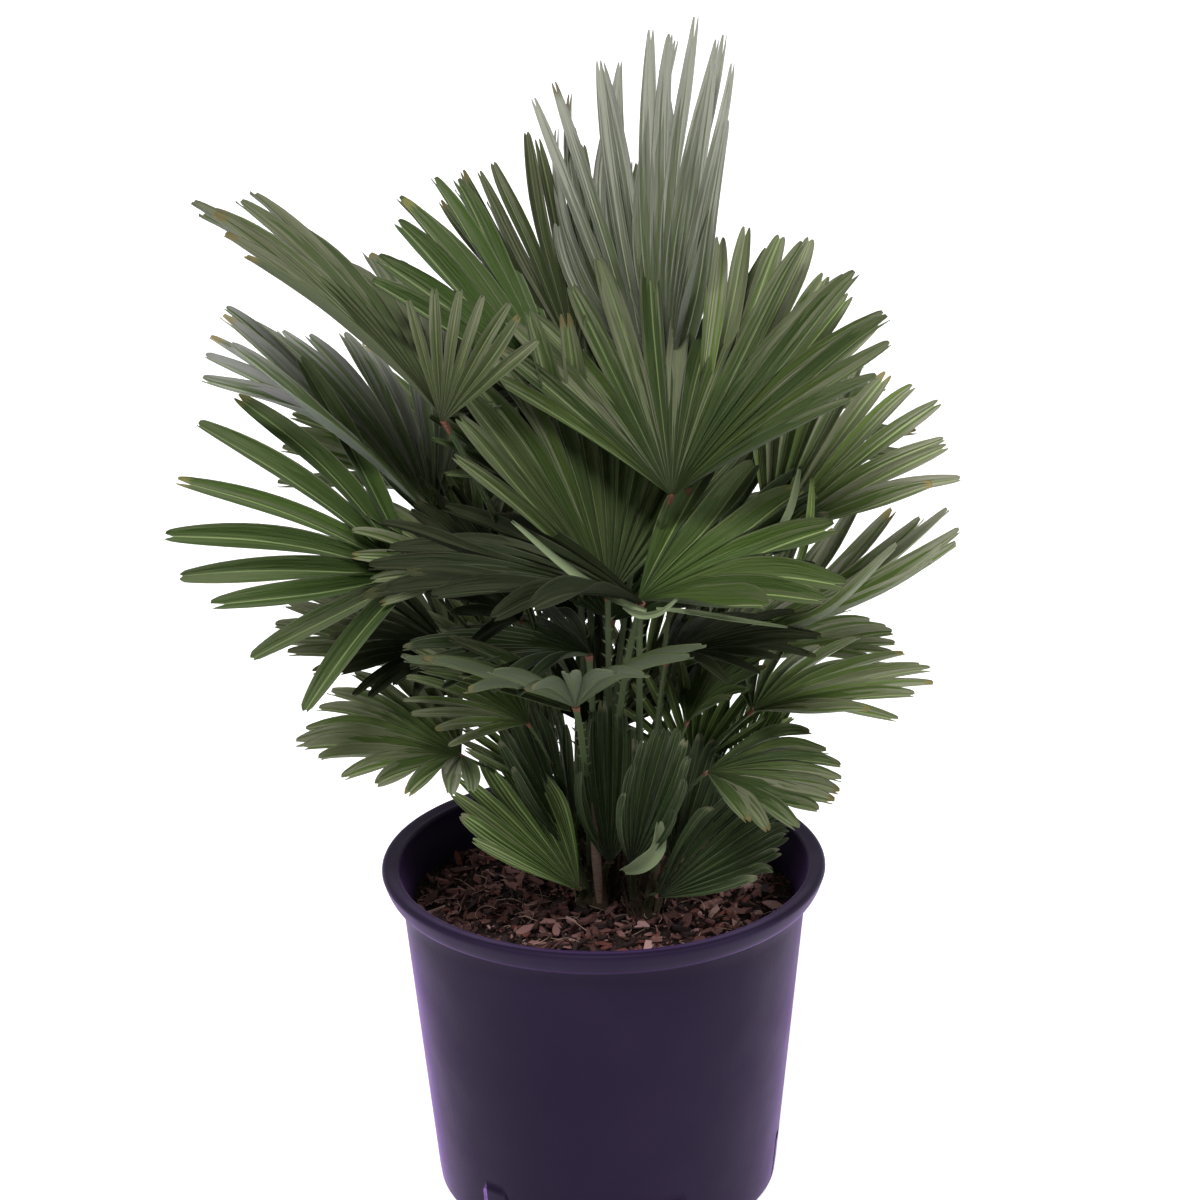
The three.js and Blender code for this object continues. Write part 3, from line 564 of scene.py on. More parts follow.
def grow_blade(f, dice):
    """Points, faces, slots and surface places of every leaflet of one blade."""
    along, across, normal = blade_frame(f)
    hub = np.array(f["hub"], float)
    count = f["leaflets"]
    spread = math.radians(f["spread"])
    swing = math.radians(f["swing"])
    step = 2 * spread / count
    pleated = f["part"] > 0.7
    slimness, turning = (0.18, 0.7) if f["palette"] == "silver" else (0, 0.3)
    pairing = {"silver": 0.14, "deep": 0.0}.get(f["palette"], 0 if pleated else 0.08)
    clefts = f["part"] * (1 + (0.03 if pleated else 0.14) * dice.uniform(-1, 1, count + 1))
    points, triangles, slots, places = [], [], [], []
    for i in range(count):
        angle = -spread + step * (i + 0.5)
        turn = angle / spread
        full = f["reach"] * (1 - f["falloff"] * turn ** 2)
        reach = full * (1.015 - (0.03 if pleated else 0.07) * dice.random())
        part = (clefts[i] + clefts[i + 1]) / 2
        tilt = dice.normal(0, 2.8)
        yaw = dice.normal(0, 1.0) + (-1) ** i * pairing * math.degrees(step)
        twist = dice.normal(0, 10)
        swell = dice.uniform(-0.12, 0.12)
        share = ROWS
        free = np.clip((share - part) / (1 - part), 0, 1)
        closing = 1 - f["close"] * share ** 2
        web = np.sin(step / 2 * closing) * full
        if pleated:
            body = 1 - 0.5 * free ** 2.2
        else:
            body = np.interp(free, FREE, BREADTH) * (1 + (swell - slimness) * smoothstep(free, 0, 0.4))
        width = np.where(share < part, web * share, web * part * body)
        turned = angle * closing + swing + np.radians(yaw) * free ** 1.5
        cup = np.radians(f["cup"] + f["curl"] * turn ** 2 + tilt * smoothstep(share, part, 1))
        flat = np.cos(turned)[:, None] * along + np.sin(turned)[:, None] * across
        out = flat * np.cos(cup)[:, None] + normal * np.sin(cup)[:, None]
        up = normal * np.cos(cup)[:, None] - flat * np.sin(cup)[:, None]
        beside = np.cross(out, up)
        half_way = len(ROWS) // 2
        facing = math.atan((-beside[half_way] @ TOWARDS) / (up[half_way] @ TOWARDS))
        roll = np.radians(twist) * free + turning * facing * smoothstep(free, 0, 0.7)
        side = beside * np.cos(roll)[:, None] + up * np.sin(roll)[:, None]
        lift = up * np.cos(roll)[:, None] - beside * np.sin(roll)[:, None]
        arch = 4 * ARCH * full * share * (1 - share)
        sag = (f["droop"] + 1.6 * dice.normal()) * free ** 2
        middle = hub + out * (reach * share)[:, None] + up * arch[:, None]
        middle[:, 2] -= sag
        fold = lerp(WEB_FOLD, TIP_FOLD, free)
        split = dice.choice([0.94, 0.968, 0.987], p=[0.3, 0.45, 0.25])
        points.append(shape_leaflet(middle, side, lift, width, fold, split))
        triangles.append(LEAFLET_TRIANGLES + i * len(points[0]))
        places.append(leaflet_places(width, reach) + (40 * i, 0))
        slots.append(deal_slots(f["palette"], part, dice))
    return [np.concatenate(part) for part in (points, triangles, slots, places)]


def grow_strap(f, dice, route, half_width, facing, felted):
    """One leaflet of a blade that bends its own way: points, faces, slots and places."""
    route = np.array(route, float)
    at = np.concatenate([[0], np.cumsum(np.linalg.norm(np.diff(route, axis=0), axis=1))])
    middle = smooth_route(route, at / at[-1], ROWS)
    ahead = unit(np.gradient(middle, axis=0))
    side = unit(np.cross(ahead, np.array(facing, float)))
    lift = np.cross(side, ahead)
    width = half_width * (0.35 + 0.65 * np.sin(np.pi * np.clip(ROWS, 0, 0.93) ** 0.8))
    points = shape_leaflet(middle, side, lift, width, np.full(len(ROWS), 0.3), 0.94)
    slots = deal_slots(f["palette"], 0.05, dice)
    if felted:
        slots[:] = FELT
    return points, LEAFLET_TRIANGLES, slots, leaflet_places(width, at[-1])


def smooth_route(points, at, wanted):
    """Places on a smooth curve through a few points."""
    slope = np.gradient(points, at, axis=0)
    k = np.clip(np.searchsorted(at, wanted) - 1, 0, len(at) - 2)
    span = (at[k + 1] - at[k])[:, None]
    t = ((wanted - at[k])[:, None]) / span
    return ((2 * t ** 3 - 3 * t ** 2 + 1) * points[k] + (t ** 3 - 2 * t ** 2 + t) * span * slope[k]
            + (3 * t ** 2 - 2 * t ** 3) * points[k + 1] + (t ** 3 - t ** 2) * span * slope[k + 1])


# Stalks.

def spread_bearings(own, stem):
    """The bearings of the stalks' feet on one stem, pushed apart until they have room."""
    rows = sorted(
        ([math.atan2(f["hub"][1] - stem["at"][1], f["hub"][0] - stem["at"][0]), name] for name, f in own),
        key=lambda row: row[0])
    step = math.radians(FOOT_STEP)
    passes = 60
    for _ in range(passes):
        for i, row in enumerate(rows):
            last = i + 1 == len(rows)
            following = rows[0] if last else rows[i + 1]
            ahead = following[0] + (2 * math.pi if last else 0) - row[0]
            push = max(0, step - ahead) / 2
            row[0] -= push
            following[0] += push
    return {name: bearing for bearing, name in rows}


def lean_of(f):
    """How far a frond's hub stands out from its stem for its height."""
    (x, y, z), (stem_x, stem_y) = f["hub"], STEMS[f["stem"]]["at"]
    return math.hypot(x - stem_x, y - stem_y) / (z - SOIL_LEVEL)


def place_feet(fronds):
    """Where each stalk leaves its stem: the steeper it is, the higher."""
    feet = {}
    for stem_name, stem in STEMS.items():
        own = sorted([item for item in fronds.items() if item[1]["stem"] == stem_name],
                     key=lambda item: lean_of(item[1]))
        bearings = spread_bearings(own, stem)
        for rank, (name, _) in enumerate(own):
            up = lerp(0.8, 0.14, rank / (len(own) - 1))
            radius = lerp(stem["foot"], stem["top"], up) - 2
            feet[name] = np.array([
                stem["at"][0] + radius * math.cos(bearings[name]),
                stem["at"][1] + radius * math.sin(bearings[name]),
                SOIL_LEVEL + stem["height"] * up])
    return feet


def stalk_line(f, foot, steps):
    """The points of a stalk's curve from its foot to its hub, and the direction at each."""
    start, end = foot, np.array(f["hub"], float)
    end = end + blade_frame(f)[0] * 0.012 * f["reach"]
    bend = np.array([lerp(start[0], end[0], STALK_BEND_OUT), lerp(start[1], end[1], STALK_BEND_OUT),
                     lerp(start[2], end[2], STALK_BEND_UP)])
    t = np.linspace(0, 1, steps)[:, None]
    line = (1 - t) ** 2 * start + 2 * t * (1 - t) * bend + t ** 2 * end
    ahead = 2 * (1 - t) * (bend - start) + 2 * t * (end - bend)
    return line, unit(ahead)


def ring_faces(rows, sides, start=0):
    """Quads of a tube of rings, and the triangles that close its ends by a point each."""
    quads = [(start + r * sides + i, start + r * sides + (i + 1) % sides,
              start + (r + 1) * sides + (i + 1) % sides, start + (r + 1) * sides + i)
             for r in range(rows - 1) for i in range(sides)]
    foot, head = start + rows * sides, start + rows * sides + 1
    triangles = [(foot, start + (i + 1) % sides, start + i) for i in range(sides)]
    triangles += [(head, start + (rows - 1) * sides + i, start + (rows - 1) * sides + (i + 1) % sides)
                  for i in range(sides)]
    return quads, triangles


def grow_stalk(f, foot, dice, steps=30, sides=12):
    """Points, faces and slots of a tapering stalk with small spines along its two edges."""
    line, ahead = stalk_line(f, foot, steps)
    level = unit(np.array([-(f["hub"][1] - foot[1]), f["hub"][0] - foot[0], 0.0]))
    up = unit(np.cross(ahead, level))
    thin = min(1, f["reach"] / 110)
    t = np.linspace(0, 1, steps)
    radius = lerp(STALK_FOOT_RADIUS, STALK_HUB_RADIUS, np.minimum(1, 1.6 * t)) * thin
    radius = radius * (1 + 0.9 * np.exp(-t / 0.035)) * (1 + 0.35 * smoothstep(t, 0.95, 1))
    angle = ring_angles(sides)
    # Rounded below and nearly flat above, as a leaf stalk is.
    section = np.where(np.sin(angle) > 0, 0.45, 1.0) * np.sin(angle) * STALK_FLATNESS
    points = (line[:, None, :] + level * (radius[:, None] * np.cos(angle))[:, :, None]
              - up[:, None, :] * (radius[:, None] * section)[:, :, None])
    points = np.concatenate([points.reshape(-1, 3), line[[0, -1]]])
    quads, triangles = ring_faces(steps, sides)
    row = np.repeat(np.arange(steps - 1), sides)
    slots = np.where(row < 3, 1, np.where(row > steps - 3, 2, 0))
    spines = []
    for place in np.arange(0.14, 0.9, 11 / max(60, np.linalg.norm(line[-1] - foot))):
        for sign in (-1, 1):
            at = np.clip(place + dice.uniform(-0.008, 0.008), 0, 1) * (steps - 1)
            k = int(at)
            middle = lerp(line[k], line[min(k + 1, steps - 1)], at - k)
            root = middle + sign * level * radius[k] * 0.92
            length = dice.uniform(1.6, 3.4) * thin
            tip = root + sign * level * length + ahead[k] * length * 0.9
            spines.append((root, tip, ahead[k], up[k], 0.55 * thin))
    extra, start = [], len(points)
    for root, tip, forward, above, half in spines:
        extra += [root - forward * half * 2, root + above * half, root + forward * half * 2,
                  root - above * half, tip]
        triangles += [(start + a, start + b, start + 4) for a, b in ((0, 1), (1, 2), (2, 3), (3, 0))]
        start += 5
    if extra:
        points = np.concatenate([points, np.array(extra)])
    triangle_slots = [1] * sides + [2] * sides + [3] * (4 * len(spines))
    return points, quads, triangles, slots, triangle_slots


def make_foliage():
    palettes = {key: palette_materials(key) for key in PALETTES}
    stalk_materials = [
        bark_material("stalk_green", (0.05, 0.07, 0.028), 0.5, 0.25),
        bark_material("stalk_foot", (0.045, 0.036, 0.02), 0.75),
        bark_material("stalk_hub", (0.13, 0.055, 0.035), 0.6),
        bark_material("stalk_spine", (0.09, 0.1, 0.05), 0.5),
    ]
    feet = place_feet({**FRONDS, **YOUNG})
    feet.update(place_feet(INNER))
    for name, f in {**FRONDS, **YOUNG, **INNER}.items():
        dice = np.random.default_rng([f["growth"], *name.encode()])
        points, triangles, slots, places = grow_blade(f, dice)
        for owner, *strap_shape in STRAPS:
            if owner == name:
                strap = grow_strap(f, dice, *strap_shape)
                triangles = np.concatenate([triangles, strap[1] + len(points)])
                points, slots, places = (np.concatenate([whole, strap[i]]) for whole, i in (
                    (points, 0), (slots, 2), (places, 3)))
        blade = add_piece(f"{name}_blade", points, triangles=triangles, materials=palettes[f["palette"]],
                          triangle_slots=slots, sharp=38, places=places)
        points, quads, triangles, quad_slots, triangle_slots = grow_stalk(f, feet[name], dice)
        stalk = add_piece(f"{name}_stalk", points, quads, triangles, stalk_materials, quad_slots,
                          triangle_slots, sharp=50)
        if name in INNER:
            nodes = ([], [])
        elif name in YOUNG:
            nodes = ([f"leaf_{name}"], [f"leaf_{name}"])
        else:
            nodes = ([f"fan_{name}"], [f"stalk_{name}"])
        finish_piece(blade, "young_leaf" if name in YOUNG else "fan_blade", *nodes[0])
        finish_piece(stalk, "leaf_stalk", *nodes[1])


# Stems.

def lathe_points(profile, sides, ridges=0.0):
    """The points of a turned profile of radii and heights, with two sets of ridges if wanted."""
    angle = ring_angles(sides)
    profile = np.array(profile, float)
    radius = np.repeat(profile[:, 0][:, None], sides, axis=1)
    height = np.repeat(profile[:, 1][:, None], sides, axis=1)
    radius = radius * (1 + ridges * (0.05 * np.sin(7 * angle + 0.35 * height)
                                     + 0.04 * np.sin(13 * angle - 0.9 * height)))
    return np.stack([radius * np.cos(angle), radius * np.sin(angle), height], axis=2).reshape(-1, 3)


def ribbon(path, width, normal, thickness):
    """A thin closed strip of four-cornered rings along a path, pointed at its end."""
    path = np.asarray(path, float)
    ahead = unit(np.gradient(path, axis=0))
    side = unit(np.cross(ahead, normal))
    above = np.cross(side, ahead)
    width = np.asarray(width, float)[:, None]
    rings = np.stack([path + side * width, path + above * thickness, path - side * width,
                      path - above * thickness], axis=1)
    return np.concatenate([rings.reshape(-1, 3), path[[0, -1]]])


def add_joined(name, parts, rows, sides, materials, shades, slot, node, sharp=None):
    """One piece of many tubes that have the same rings, each with a shade of its own."""
    quads, triangles = (np.array(faces) for faces in ring_faces(rows, sides))
    steps = np.arange(len(parts))[:, None, None] * (rows * sides + 2)
    finish_piece(add_piece(name, np.concatenate(parts), quads[None] + steps, triangles[None] + steps,
                           materials, np.repeat(shades, (rows - 1) * sides),
                           np.repeat(shades, 2 * sides), sharp), slot, node)


def make_spear():
    """The closed young leaf in front, in its dry sheath."""
    sheath = bark_material("spear_sheath", (0.12, 0.075, 0.058), 0.7, 1.0)
    steps, sides = 18, 10
    t = np.linspace(0, 1, steps)
    path = np.stack([lerp(-3, -7, t), np.full(steps, -50.0), lerp(224, 296, t)], axis=1)
    radius = 2.9 * np.sin(np.pi * (0.16 + 0.82 * t)) ** 0.8 + 0.2
    angle = ring_angles(sides)
    ring = np.stack([np.cos(angle), 0.7 * np.sin(angle), 0 * angle], axis=1)
    crease = 1 - 0.22 * np.exp(-((angle - 1.5 * math.pi) / 0.4) ** 2)
    points = path[:, None, :] + ring * (radius[:, None] * crease)[:, :, None]
    points = np.concatenate([points.reshape(-1, 3), path[[0, -1]]])
    quads, triangles = ring_faces(steps, sides)
    finish_piece(add_piece("spear_leaf", points, quads, triangles, [sheath], sharp=50), "stem_fibre")


def make_stems():
    """The short stems: a ridged core, the bases of old leaves round it, and loose fibres."""
    core = bark_material("stem_core", (0.035, 0.026, 0.016))
    scale_materials = [bark_material("stem_scale_1", (0.06, 0.052, 0.028)),
                       bark_material("stem_scale_2", (0.04, 0.03, 0.018)),
                       bark_material("stem_scale_3", (0.085, 0.06, 0.04))]
    fibre_materials = [bark_material("stem_fibre_1", (0.12, 0.075, 0.045)),
                       bark_material("stem_fibre_2", (0.11, 0.065, 0.04))]
    core_rings, core_sides = 26, 40
    leaf_bases, golden_angle = 26, math.radians(137.5)
    fibre_count = 150
    for name, stem in STEMS.items():
        centre = np.array([*stem["at"], 0.0])
        base, height = SOIL_LEVEL + 0.4, stem["height"]
        up = np.linspace(0, 1, core_rings)
        radius = lerp(stem["foot"], stem["top"], up) * np.where(up > 0.85, np.sqrt(
            np.clip(1 - ((up - 0.85) / 0.15) ** 2, 0.02, 1)), 1) * 0.93
        profile = np.stack([radius, base + height * up], axis=1)
        points = lathe_points(profile, core_sides, ridges=1.0) + centre
        points = np.concatenate([points, [centre + (0, 0, base), centre + (0, 0, base + height)]])
        quads, triangles = ring_faces(core_rings, core_sides)
        finish_piece(add_piece(name + "_core", points, quads, triangles, [core], sharp=60),
                     "stem_fibre", name)
        # Old leaf bases, laid round the stem by the golden angle.
        scales, shades = [], []
        for k in range(leaf_bases):
            place = (k + 0.5) / leaf_bases
            bearing = k * golden_angle
            outward = outward_at(bearing)
            around = lerp(stem["foot"], stem["top"], place)
            length = rng.uniform(14, 24) * (1 - 0.3 * place)
            t = np.linspace(0, 1, 8)[:, None]
            path = (centre + outward * (around * 0.93 + 1.2 + 3.4 * t ** 2)
                    + np.array([0, 0, 1]) * (base + height * place * 0.82 + length * t))
            width = rng.uniform(4, 6.4) * np.sqrt(np.clip(1 - t[:, 0] ** 2.2, 0.004, 1))
            scales.append(ribbon(path, width, outward, 0.8))
            shades.append(rng.integers(3))
        add_joined(name + "_leaf_bases", scales, 8, 4, scale_materials, shades, "stem_fibre", name, 40)
        # Loose brown fibres between the leaf bases.
        fibres, shades = [], []
        for _ in range(fibre_count):
            bearing = rng.uniform(0, 2 * math.pi)
            place = rng.uniform(0, 0.95)
            outward = outward_at(bearing)
            aside = np.array([-outward[1], outward[0], 0])
            around = lerp(stem["foot"], stem["top"], place)
            length = rng.uniform(10, 26)
            t = np.linspace(0, 1, 7)[:, None]
            drift, curl = rng.normal(0, 5), rng.uniform(0, 5)
            path = (centre + outward * (around + 0.6 + curl * t ** 2) + aside * drift * t
                    + np.array([0, 0, 1]) * (base + height * place + length * t * (1 - 0.2 * t)))
            path[:, 2] = np.minimum(path[:, 2], base + height * 1.25)
            fibres.append(ribbon(path, np.linspace(0.35, 0.12, 7), outward, 0.22))
            shades.append(rng.integers(2))
        add_joined(name + "_fibres", fibres, 7, 4, fibre_materials, shades, "stem_fibre", name)


# Pot and what fills it.

def wall_radius(z):
    """The outer radius of the pot's wall at a height."""
    return lerp(FOOT_RADIUS, NECK_RADIUS, z / LIP_FOOT)


def arc(centre, radius, first, last, steps):
    """Points on an arc from one angle in degrees to another."""
    angles = np.radians(np.linspace(first, last, steps))
    return [(centre[0] + radius * math.cos(a), centre[1] + radius * math.sin(a)) for a in angles]


def drain_cutter():
    """The shape that cuts the slots round the foot, each an arch with its top corners rounded."""
    half = DRAIN_WIDTH / 2
    corner = 5
    arch = [(-half, -6), (half, -6), (half * 0.86, DRAIN_HEIGHT - 9)]
    arch += arc((half * 0.45, DRAIN_HEIGHT - corner), corner, 0, 90, 4)
    arch += arc((-half * 0.45, DRAIN_HEIGHT - corner), corner, 90, 180, 4)
    arch += [(-half * 0.86, DRAIN_HEIGHT - 9)]
    count = len(arch)
    points, faces = [], []
    for k in range(DRAIN_COUNT):
        outward = outward_at(math.radians(DRAIN_FIRST_BEARING + 360 / DRAIN_COUNT * k))
        aside = np.array([-outward[1], outward[0], 0])
        start = len(points)
        for distance in (FOOT_RADIUS - 13, FOOT_RADIUS + 14):
            points += [outward * distance + aside * x + np.array([0, 0, z]) for x, z in arch]
        faces.append([start + i for i in range(count)])
        faces.append([start + count + i for i in reversed(range(count))])
        faces += [[start + i, start + count + i, start + count + (i + 1) % count,
                   start + (i + 1) % count] for i in range(count)]
    mesh = bpy.data.meshes.new("slots")
    mesh.from_pydata([tuple(p * METRES) for p in points], [], faces)
    # The slots' cut walls take a darker violet without sheen: painted shade inside the slots.
    mesh.materials.append(new_material("slot_shade", (0.008, 0.006, 0.012), 0.7, specular=0.05))
    mesh.update()
    return link_object("slots", mesh)


def pot_profile():
    """Radii and heights from the middle of the underside, up the wall, over the rim and down inside."""
    axis = 0.001
    outside = [(axis, 0), (60, 0), (FOOT_RADIUS - 10, 0)] + arc((FOOT_RADIUS - 3, 3), 3, -90, 0, 5)
    outside += [(wall_radius(z), z) for z in np.linspace(10, LIP_FOOT + 1, 22)]
    # Under the rim and up its plain sloping band.
    outside += [(NECK_RADIUS + 1, LIP_FOOT + 2.6), (NECK_RADIUS + 4, LIP_FOOT + 4.2),
                (RIM_RADIUS - 5.4, LIP_FOOT + 6), (RIM_RADIUS - 3.8, LIP_FOOT + 8.4),
                (RIM_RADIUS - 2.2, LIP_FOOT + 11.6), (RIM_RADIUS - 0.8, LIP_FOOT + 15.6)]
    # Its rounded outer edge, its nearly flat top and its rounded inner edge.
    rolled = arc((RIM_RADIUS - 2.8, POT_HEIGHT - 2.8), 2.8, -6, 100, 9)
    rolled += [(RIM_RADIUS - 6, POT_HEIGHT - 0.5), (RIM_RADIUS - 8.6, POT_HEIGHT - 1.3)]
    rolled += arc((RIM_RADIUS - 9.4, POT_HEIGHT - 3.7), 2.4, 80, 186, 7)
    inside = [(RIM_RADIUS - 12.2, POT_HEIGHT - 9), (NECK_RADIUS - WALL + 1.2, LIP_FOOT + 5)]
    inside += [(wall_radius(z) - WALL, z) for z in np.linspace(LIP_FOOT - 3, 8, 20)]
    inside += [(FOOT_RADIUS - WALL - 4, WALL + 0.6), (60, WALL), (axis, WALL)]
    return outside + rolled + inside


def make_pot():
    profile = pot_profile()
    sides = 160
    quads, _ = ring_faces(len(profile), sides)
    pot = add_piece("pot_shell", lathe_points(profile, sides), quads, materials=[pot_material()], sharp=50)
    cutter = drain_cutter()
    modifier = pot.modifiers.new("slots", "BOOLEAN")
    modifier.object = cutter
    modifier.operation = "DIFFERENCE"
    modifier.solver = "EXACT"
    modifier.material_mode = "TRANSFER"
    bpy.context.view_layer.update()
    cut = bpy.data.meshes.new_from_object(pot.evaluated_get(bpy.context.evaluated_depsgraph_get()))
    pot.modifiers.clear()
    pot.data = cut
    cut.set_sharp_from_angle(angle=math.radians(40))
    bpy.data.objects.remove(cutter)
    finish_piece(pot, "pot_plastic", "pot")


def soil_height(x, y):
    """The lumpy top of the mix at a place, the same wherever it is asked for."""
    return (SOIL_LEVEL + 1.6 + 1.3 * np.sin(0.07 * x + 1.3) * np.cos(0.09 * y)
            + 0.9 * np.sin(0.19 * x - 0.13 * y) + 0.7 * np.cos(0.23 * y + 0.11 * x))


def make_soil():
    """The body of mix in the pot. Gives the radius of its top."""
    sides, rings, wall_rings = 120, 46, 24
    edge = wall_radius(SOIL_LEVEL) - WALL - 0.9
    angle = ring_angles(sides)
    radius = np.linspace(1.5, edge, rings)[:, None]
    x, y = radius * np.cos(angle), radius * np.sin(angle)
    z = soil_height(x, y) + rng.normal(0, 0.55, x.shape)
    top = np.stack([x, y, z], axis=2)[::-1]
    side_z = np.linspace(SOIL_LEVEL - 6, WALL + 0.6, wall_rings)[:, None]
    side_r = wall_radius(side_z) - WALL - 1.2 + rng.uniform(-0.7, 0.2, (wall_rings, sides))
    wall = np.stack([side_r * np.cos(angle), side_r * np.sin(angle),
                     np.repeat(side_z, sides, axis=1)], axis=2)
    # Rings from the foot, up the side and in over the top, and a point to close each end.
    points = np.concatenate([wall[::-1], top]).reshape(-1, 3)
    points = np.concatenate([points, [(0, 0, WALL + 0.6), (0, 0, soil_height(0, 0))]])
    quads, triangles = ring_faces(wall_rings + rings, sides)
    finish_piece(add_piece("potting_mix", points, quads, triangles, [soil_material()], sharp=80),
                 "potting_mix", "soil")
    return edge


def random_place(edge):
    """A place on the mix, with its radius no more than this."""
    reach = edge * math.sqrt(rng.random())
    bearing = rng.uniform(0, 2 * math.pi)
    return reach * math.cos(bearing), reach * math.sin(bearing)


def make_mulch(edge):
    """Flat bark chips, long ones first and then crumbs, tipped a little every way."""
    shades = [(0.111, 0.048, 0.043), (0.057, 0.025, 0.021), (0.205, 0.103, 0.094), (0.021, 0.011, 0.011),
              (0.361, 0.212, 0.201), (0.118, 0.036, 0.029)]
    materials = [bark_material(f"bark_chip_{i}", shade) for i, shade in enumerate(shades)]
    chips, dealt = [], []
    sides = 7
    long_chips, all_chips = 1100, 4600
    for k in range(all_chips):
        big = k < long_chips
        x, y = random_place(edge - (7 if big else 3))
        length = rng.uniform(7, 19) if big else rng.uniform(1.6, 6)
        width = length * rng.uniform(0.22, 0.52)
        thick = length * rng.uniform(0.07, 0.18)
        angle = ring_angles(sides) + rng.uniform(0, 1)
        outline = np.stack([np.cos(angle) * length / 2, np.sin(angle) * width / 2, 0 * angle], axis=1)
        outline[:, :2] *= rng.uniform(0.55, 1.18, (sides, 1))
        lower = outline * 0.86 - (0, 0, thick / 2)
        upper = outline * rng.uniform(0.8, 1) + (0, 0, thick / 2)
        upper[:, 2] += rng.normal(0, thick * 0.2, sides)
        body = np.concatenate([lower, upper, [(0, 0, -thick / 2)], [(0, 0, thick * 0.62)]])
        spin = Matrix.Rotation(rng.uniform(0, 2 * math.pi), 3, "Z")
        lean = Matrix.Rotation(rng.normal(0, 0.42), 3, "X") @ Matrix.Rotation(rng.normal(0, 0.42), 3, "Y")
        body = body @ np.array(spin @ lean).T
        lift = 0.8 + rng.uniform(0, 4.2 if big else 2.8)
        chips.append(body + (x, y, soil_height(x, y) + lift))
        dealt.append(rng.choice(len(shades), p=[0.24, 0.24, 0.12, 0.24, 0.05, 0.11]))
    add_joined("bark_mulch", chips, 2, sides, materials, dealt, "potting_mix", "soil", 25)


def make_litter(edge):
    """Pale rootlets and a dry stick that lie on the mulch."""
    rootlet = bark_material("rootlet", (0.3, 0.2, 0.155), 0.7)
    roots, root_count, steps = [], 150, 9
    for _ in range(root_count):
        x, y = random_place(edge - 14)
        length = rng.uniform(9, 34)
        heading, curve = rng.uniform(0, 2 * math.pi), rng.normal(0, 2.2)
        t = np.linspace(0, 1, steps)
        headings = heading + curve * t
        px = x + np.cumsum(np.cos(headings)) * length / steps
        py = y + np.cumsum(np.sin(headings)) * length / steps
        inside = np.minimum(1, (edge - 4) / np.maximum(1, np.hypot(px, py)))
        px, py = px * inside, py * inside
        pz = soil_height(px, py) + 3.4 + rng.uniform(0, 2.2) + 2.2 * np.sin(math.pi * t) * rng.random()
        path = np.stack([px, py, pz], axis=1)
        thick = rng.uniform(0.2, 0.5)
        roots.append(ribbon(path, np.linspace(thick, thick * 0.4, steps), (0, 0, 1), thick * 0.8))
    add_joined("rootlets", roots, steps, 4, [rootlet], [0] * root_count, "potting_mix", "soil")
    stick = bark_material("dry_stick", (0.25, 0.16, 0.12), 0.75)
    t = np.linspace(0, 1, 12)
    path = np.stack([lerp(74, 112, t), lerp(20, 56, t), 206 + 1.5 * np.sin(5 * t) + 3 * t], axis=1)
    body = ribbon(path, lerp(1.1, 1.9, t), (0, 0, 1), 1.2)
    add_joined("dry_stick", [body], len(t), 4, [stick], [0], "potting_mix", "soil")


# Camera, floor and light.

CAMERA_PLACE = (0.00022, -1.856, 1.0803)
CAMERA_PITCH = math.radians(19.61)
CAMERA_ROLL = -0.0148


def make_camera():
    """The camera of the photograph, which looks down at the plant and leans by under a degree."""
    pitch, roll = CAMERA_PITCH, CAMERA_ROLL
    right = Vector((1, 0, 0))
    up = Vector((0, math.sin(pitch), math.cos(pitch)))
    forward = Vector((0, math.cos(pitch), -math.sin(pitch)))
    camera_right = right * math.cos(roll) + up * math.sin(roll)
    camera_up = up * math.cos(roll) - right * math.sin(roll)
    data = bpy.data.cameras.new("camera")
    data.lens = 90
    data.sensor_width = 36
    camera = link_object("camera", data)
    turn = Matrix((camera_right, camera_up, -forward)).transposed()
    camera.matrix_world = Matrix.Translation(CAMERA_PLACE) @ turn.to_4x4()
    bpy.context.scene.camera = camera


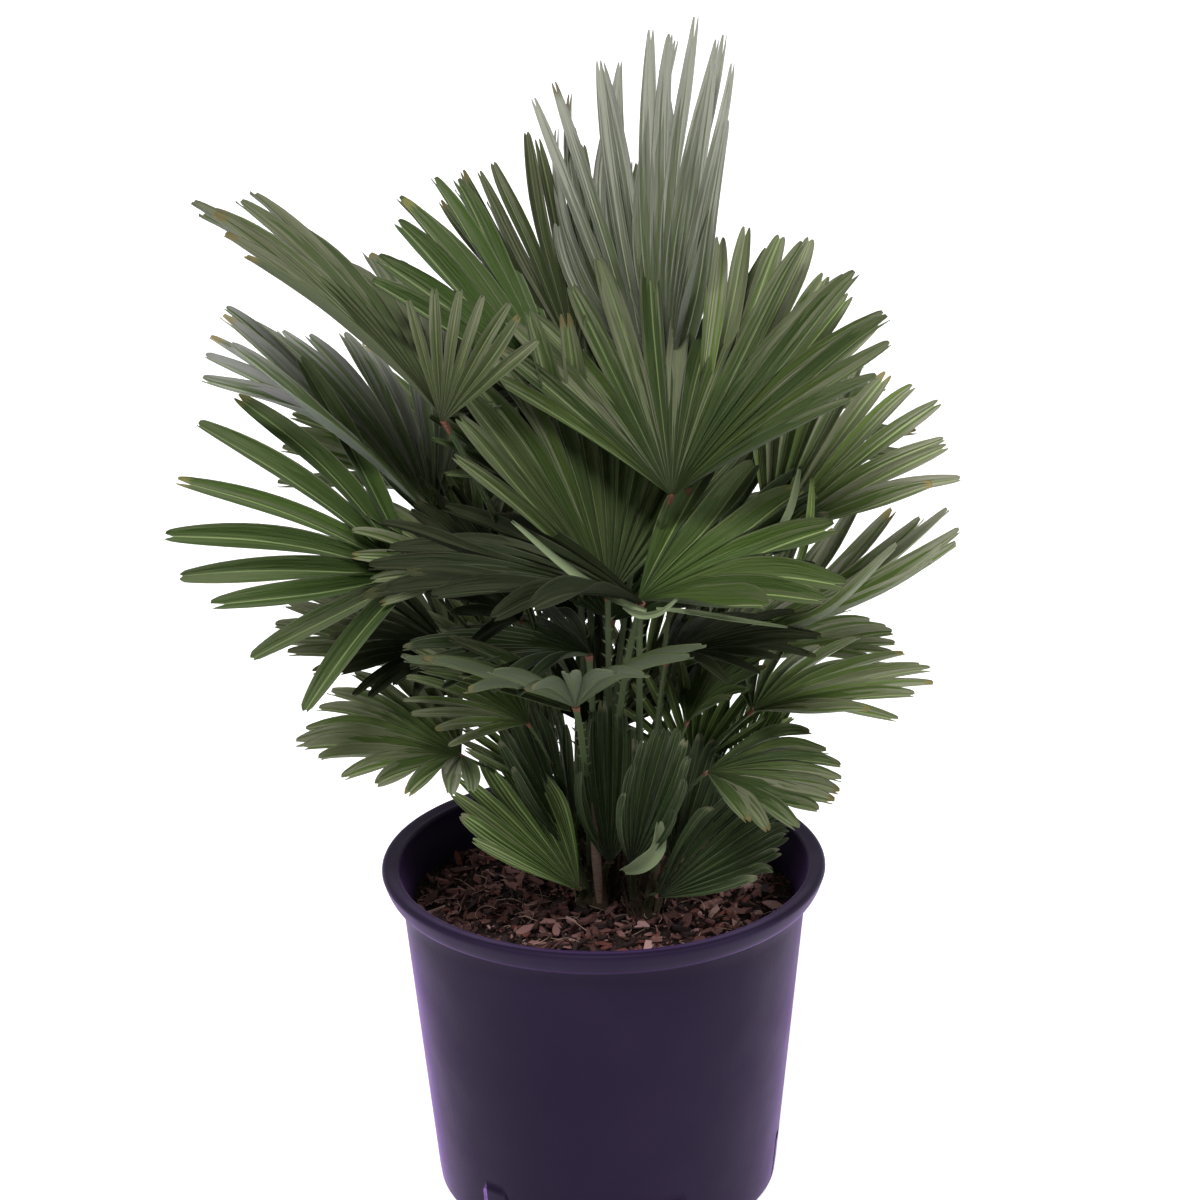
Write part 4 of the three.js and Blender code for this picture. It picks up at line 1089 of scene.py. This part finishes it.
def add_area(name, place, target, size, power):
    """A round soft light at a place, turned to a target."""
    data = bpy.data.lights.new(name, "AREA")
    data.shape = "DISK"
    data.size = size
    data.energy = power
    light = link_object(name, data)
    light.location = place
    light.rotation_euler = (Vector(target) - Vector(place)).to_track_quat("-Z", "Y").to_euler()


def make_studio():
    sides, floor_radius = 64, 12000
    angle = ring_angles(sides)
    points = floor_radius * np.stack([np.cos(angle), np.sin(angle), 0 * angle], axis=1)
    points = np.concatenate([points, [(0, 0, 0)]])
    triangles = [(i, (i + 1) % sides, sides) for i in range(sides)]
    white = new_material("studio_floor", (0.7, 0.7, 0.7), 0.8, 0.1)
    # It glows like a light table, so that no shadow greys the picture's ground.
    set_shader(white, Emission_Color=(1, 1, 1, 1), Emission_Strength=0.55)
    floor = add_piece("floor", points, triangles=triangles, materials=[white])
    world = bpy.data.worlds.new("studio")
    world.use_nodes = True
    # The room is bright behind the plant and beside it, and dim where a camera would stand.
    links = world.node_tree.links
    background = world.node_tree.nodes["Background"]
    place = add_node(world.node_tree, "TexCoord")
    split = add_node(world.node_tree, "SeparateXYZ")
    ramp = add_node(world.node_tree, "MapRange", From_Min=-0.75, From_Max=0.25, To_Min=0.16, To_Max=0.8)
    links.new(place.outputs["Generated"], split.inputs["Vector"])
    links.new(split.outputs["Y"], ramp.inputs["Value"])
    links.new(ramp.outputs["Result"], background.inputs["Strength"])
    set_inputs(background, Color=(1, 1, 1, 1))
    bpy.context.scene.world = world
    bpy.context.scene.view_settings.view_transform = "Standard"
    sun = bpy.data.lights.new("key", "SUN")
    sun.energy = 2.75
    sun.angle = math.radians(20)
    sunlight = Vector((0.1, 0.5, -0.86))
    link_object("key", sun).rotation_euler = sunlight.to_track_quat("-Z", "Y").to_euler()
    add_area("fill", (1.9, -0.9, 1.6), (0, 0, 0.4), 1.2, 27)
    add_area("soft_left", (-1.9, -1.3, 1.6), (-0.1, 0, 0.5), 1.2, 16)


make_camera()
make_studio()
make_pot()
soil_edge = make_soil()
make_mulch(soil_edge)
make_litter(soil_edge)
make_stems()
make_spear()
make_foliage()
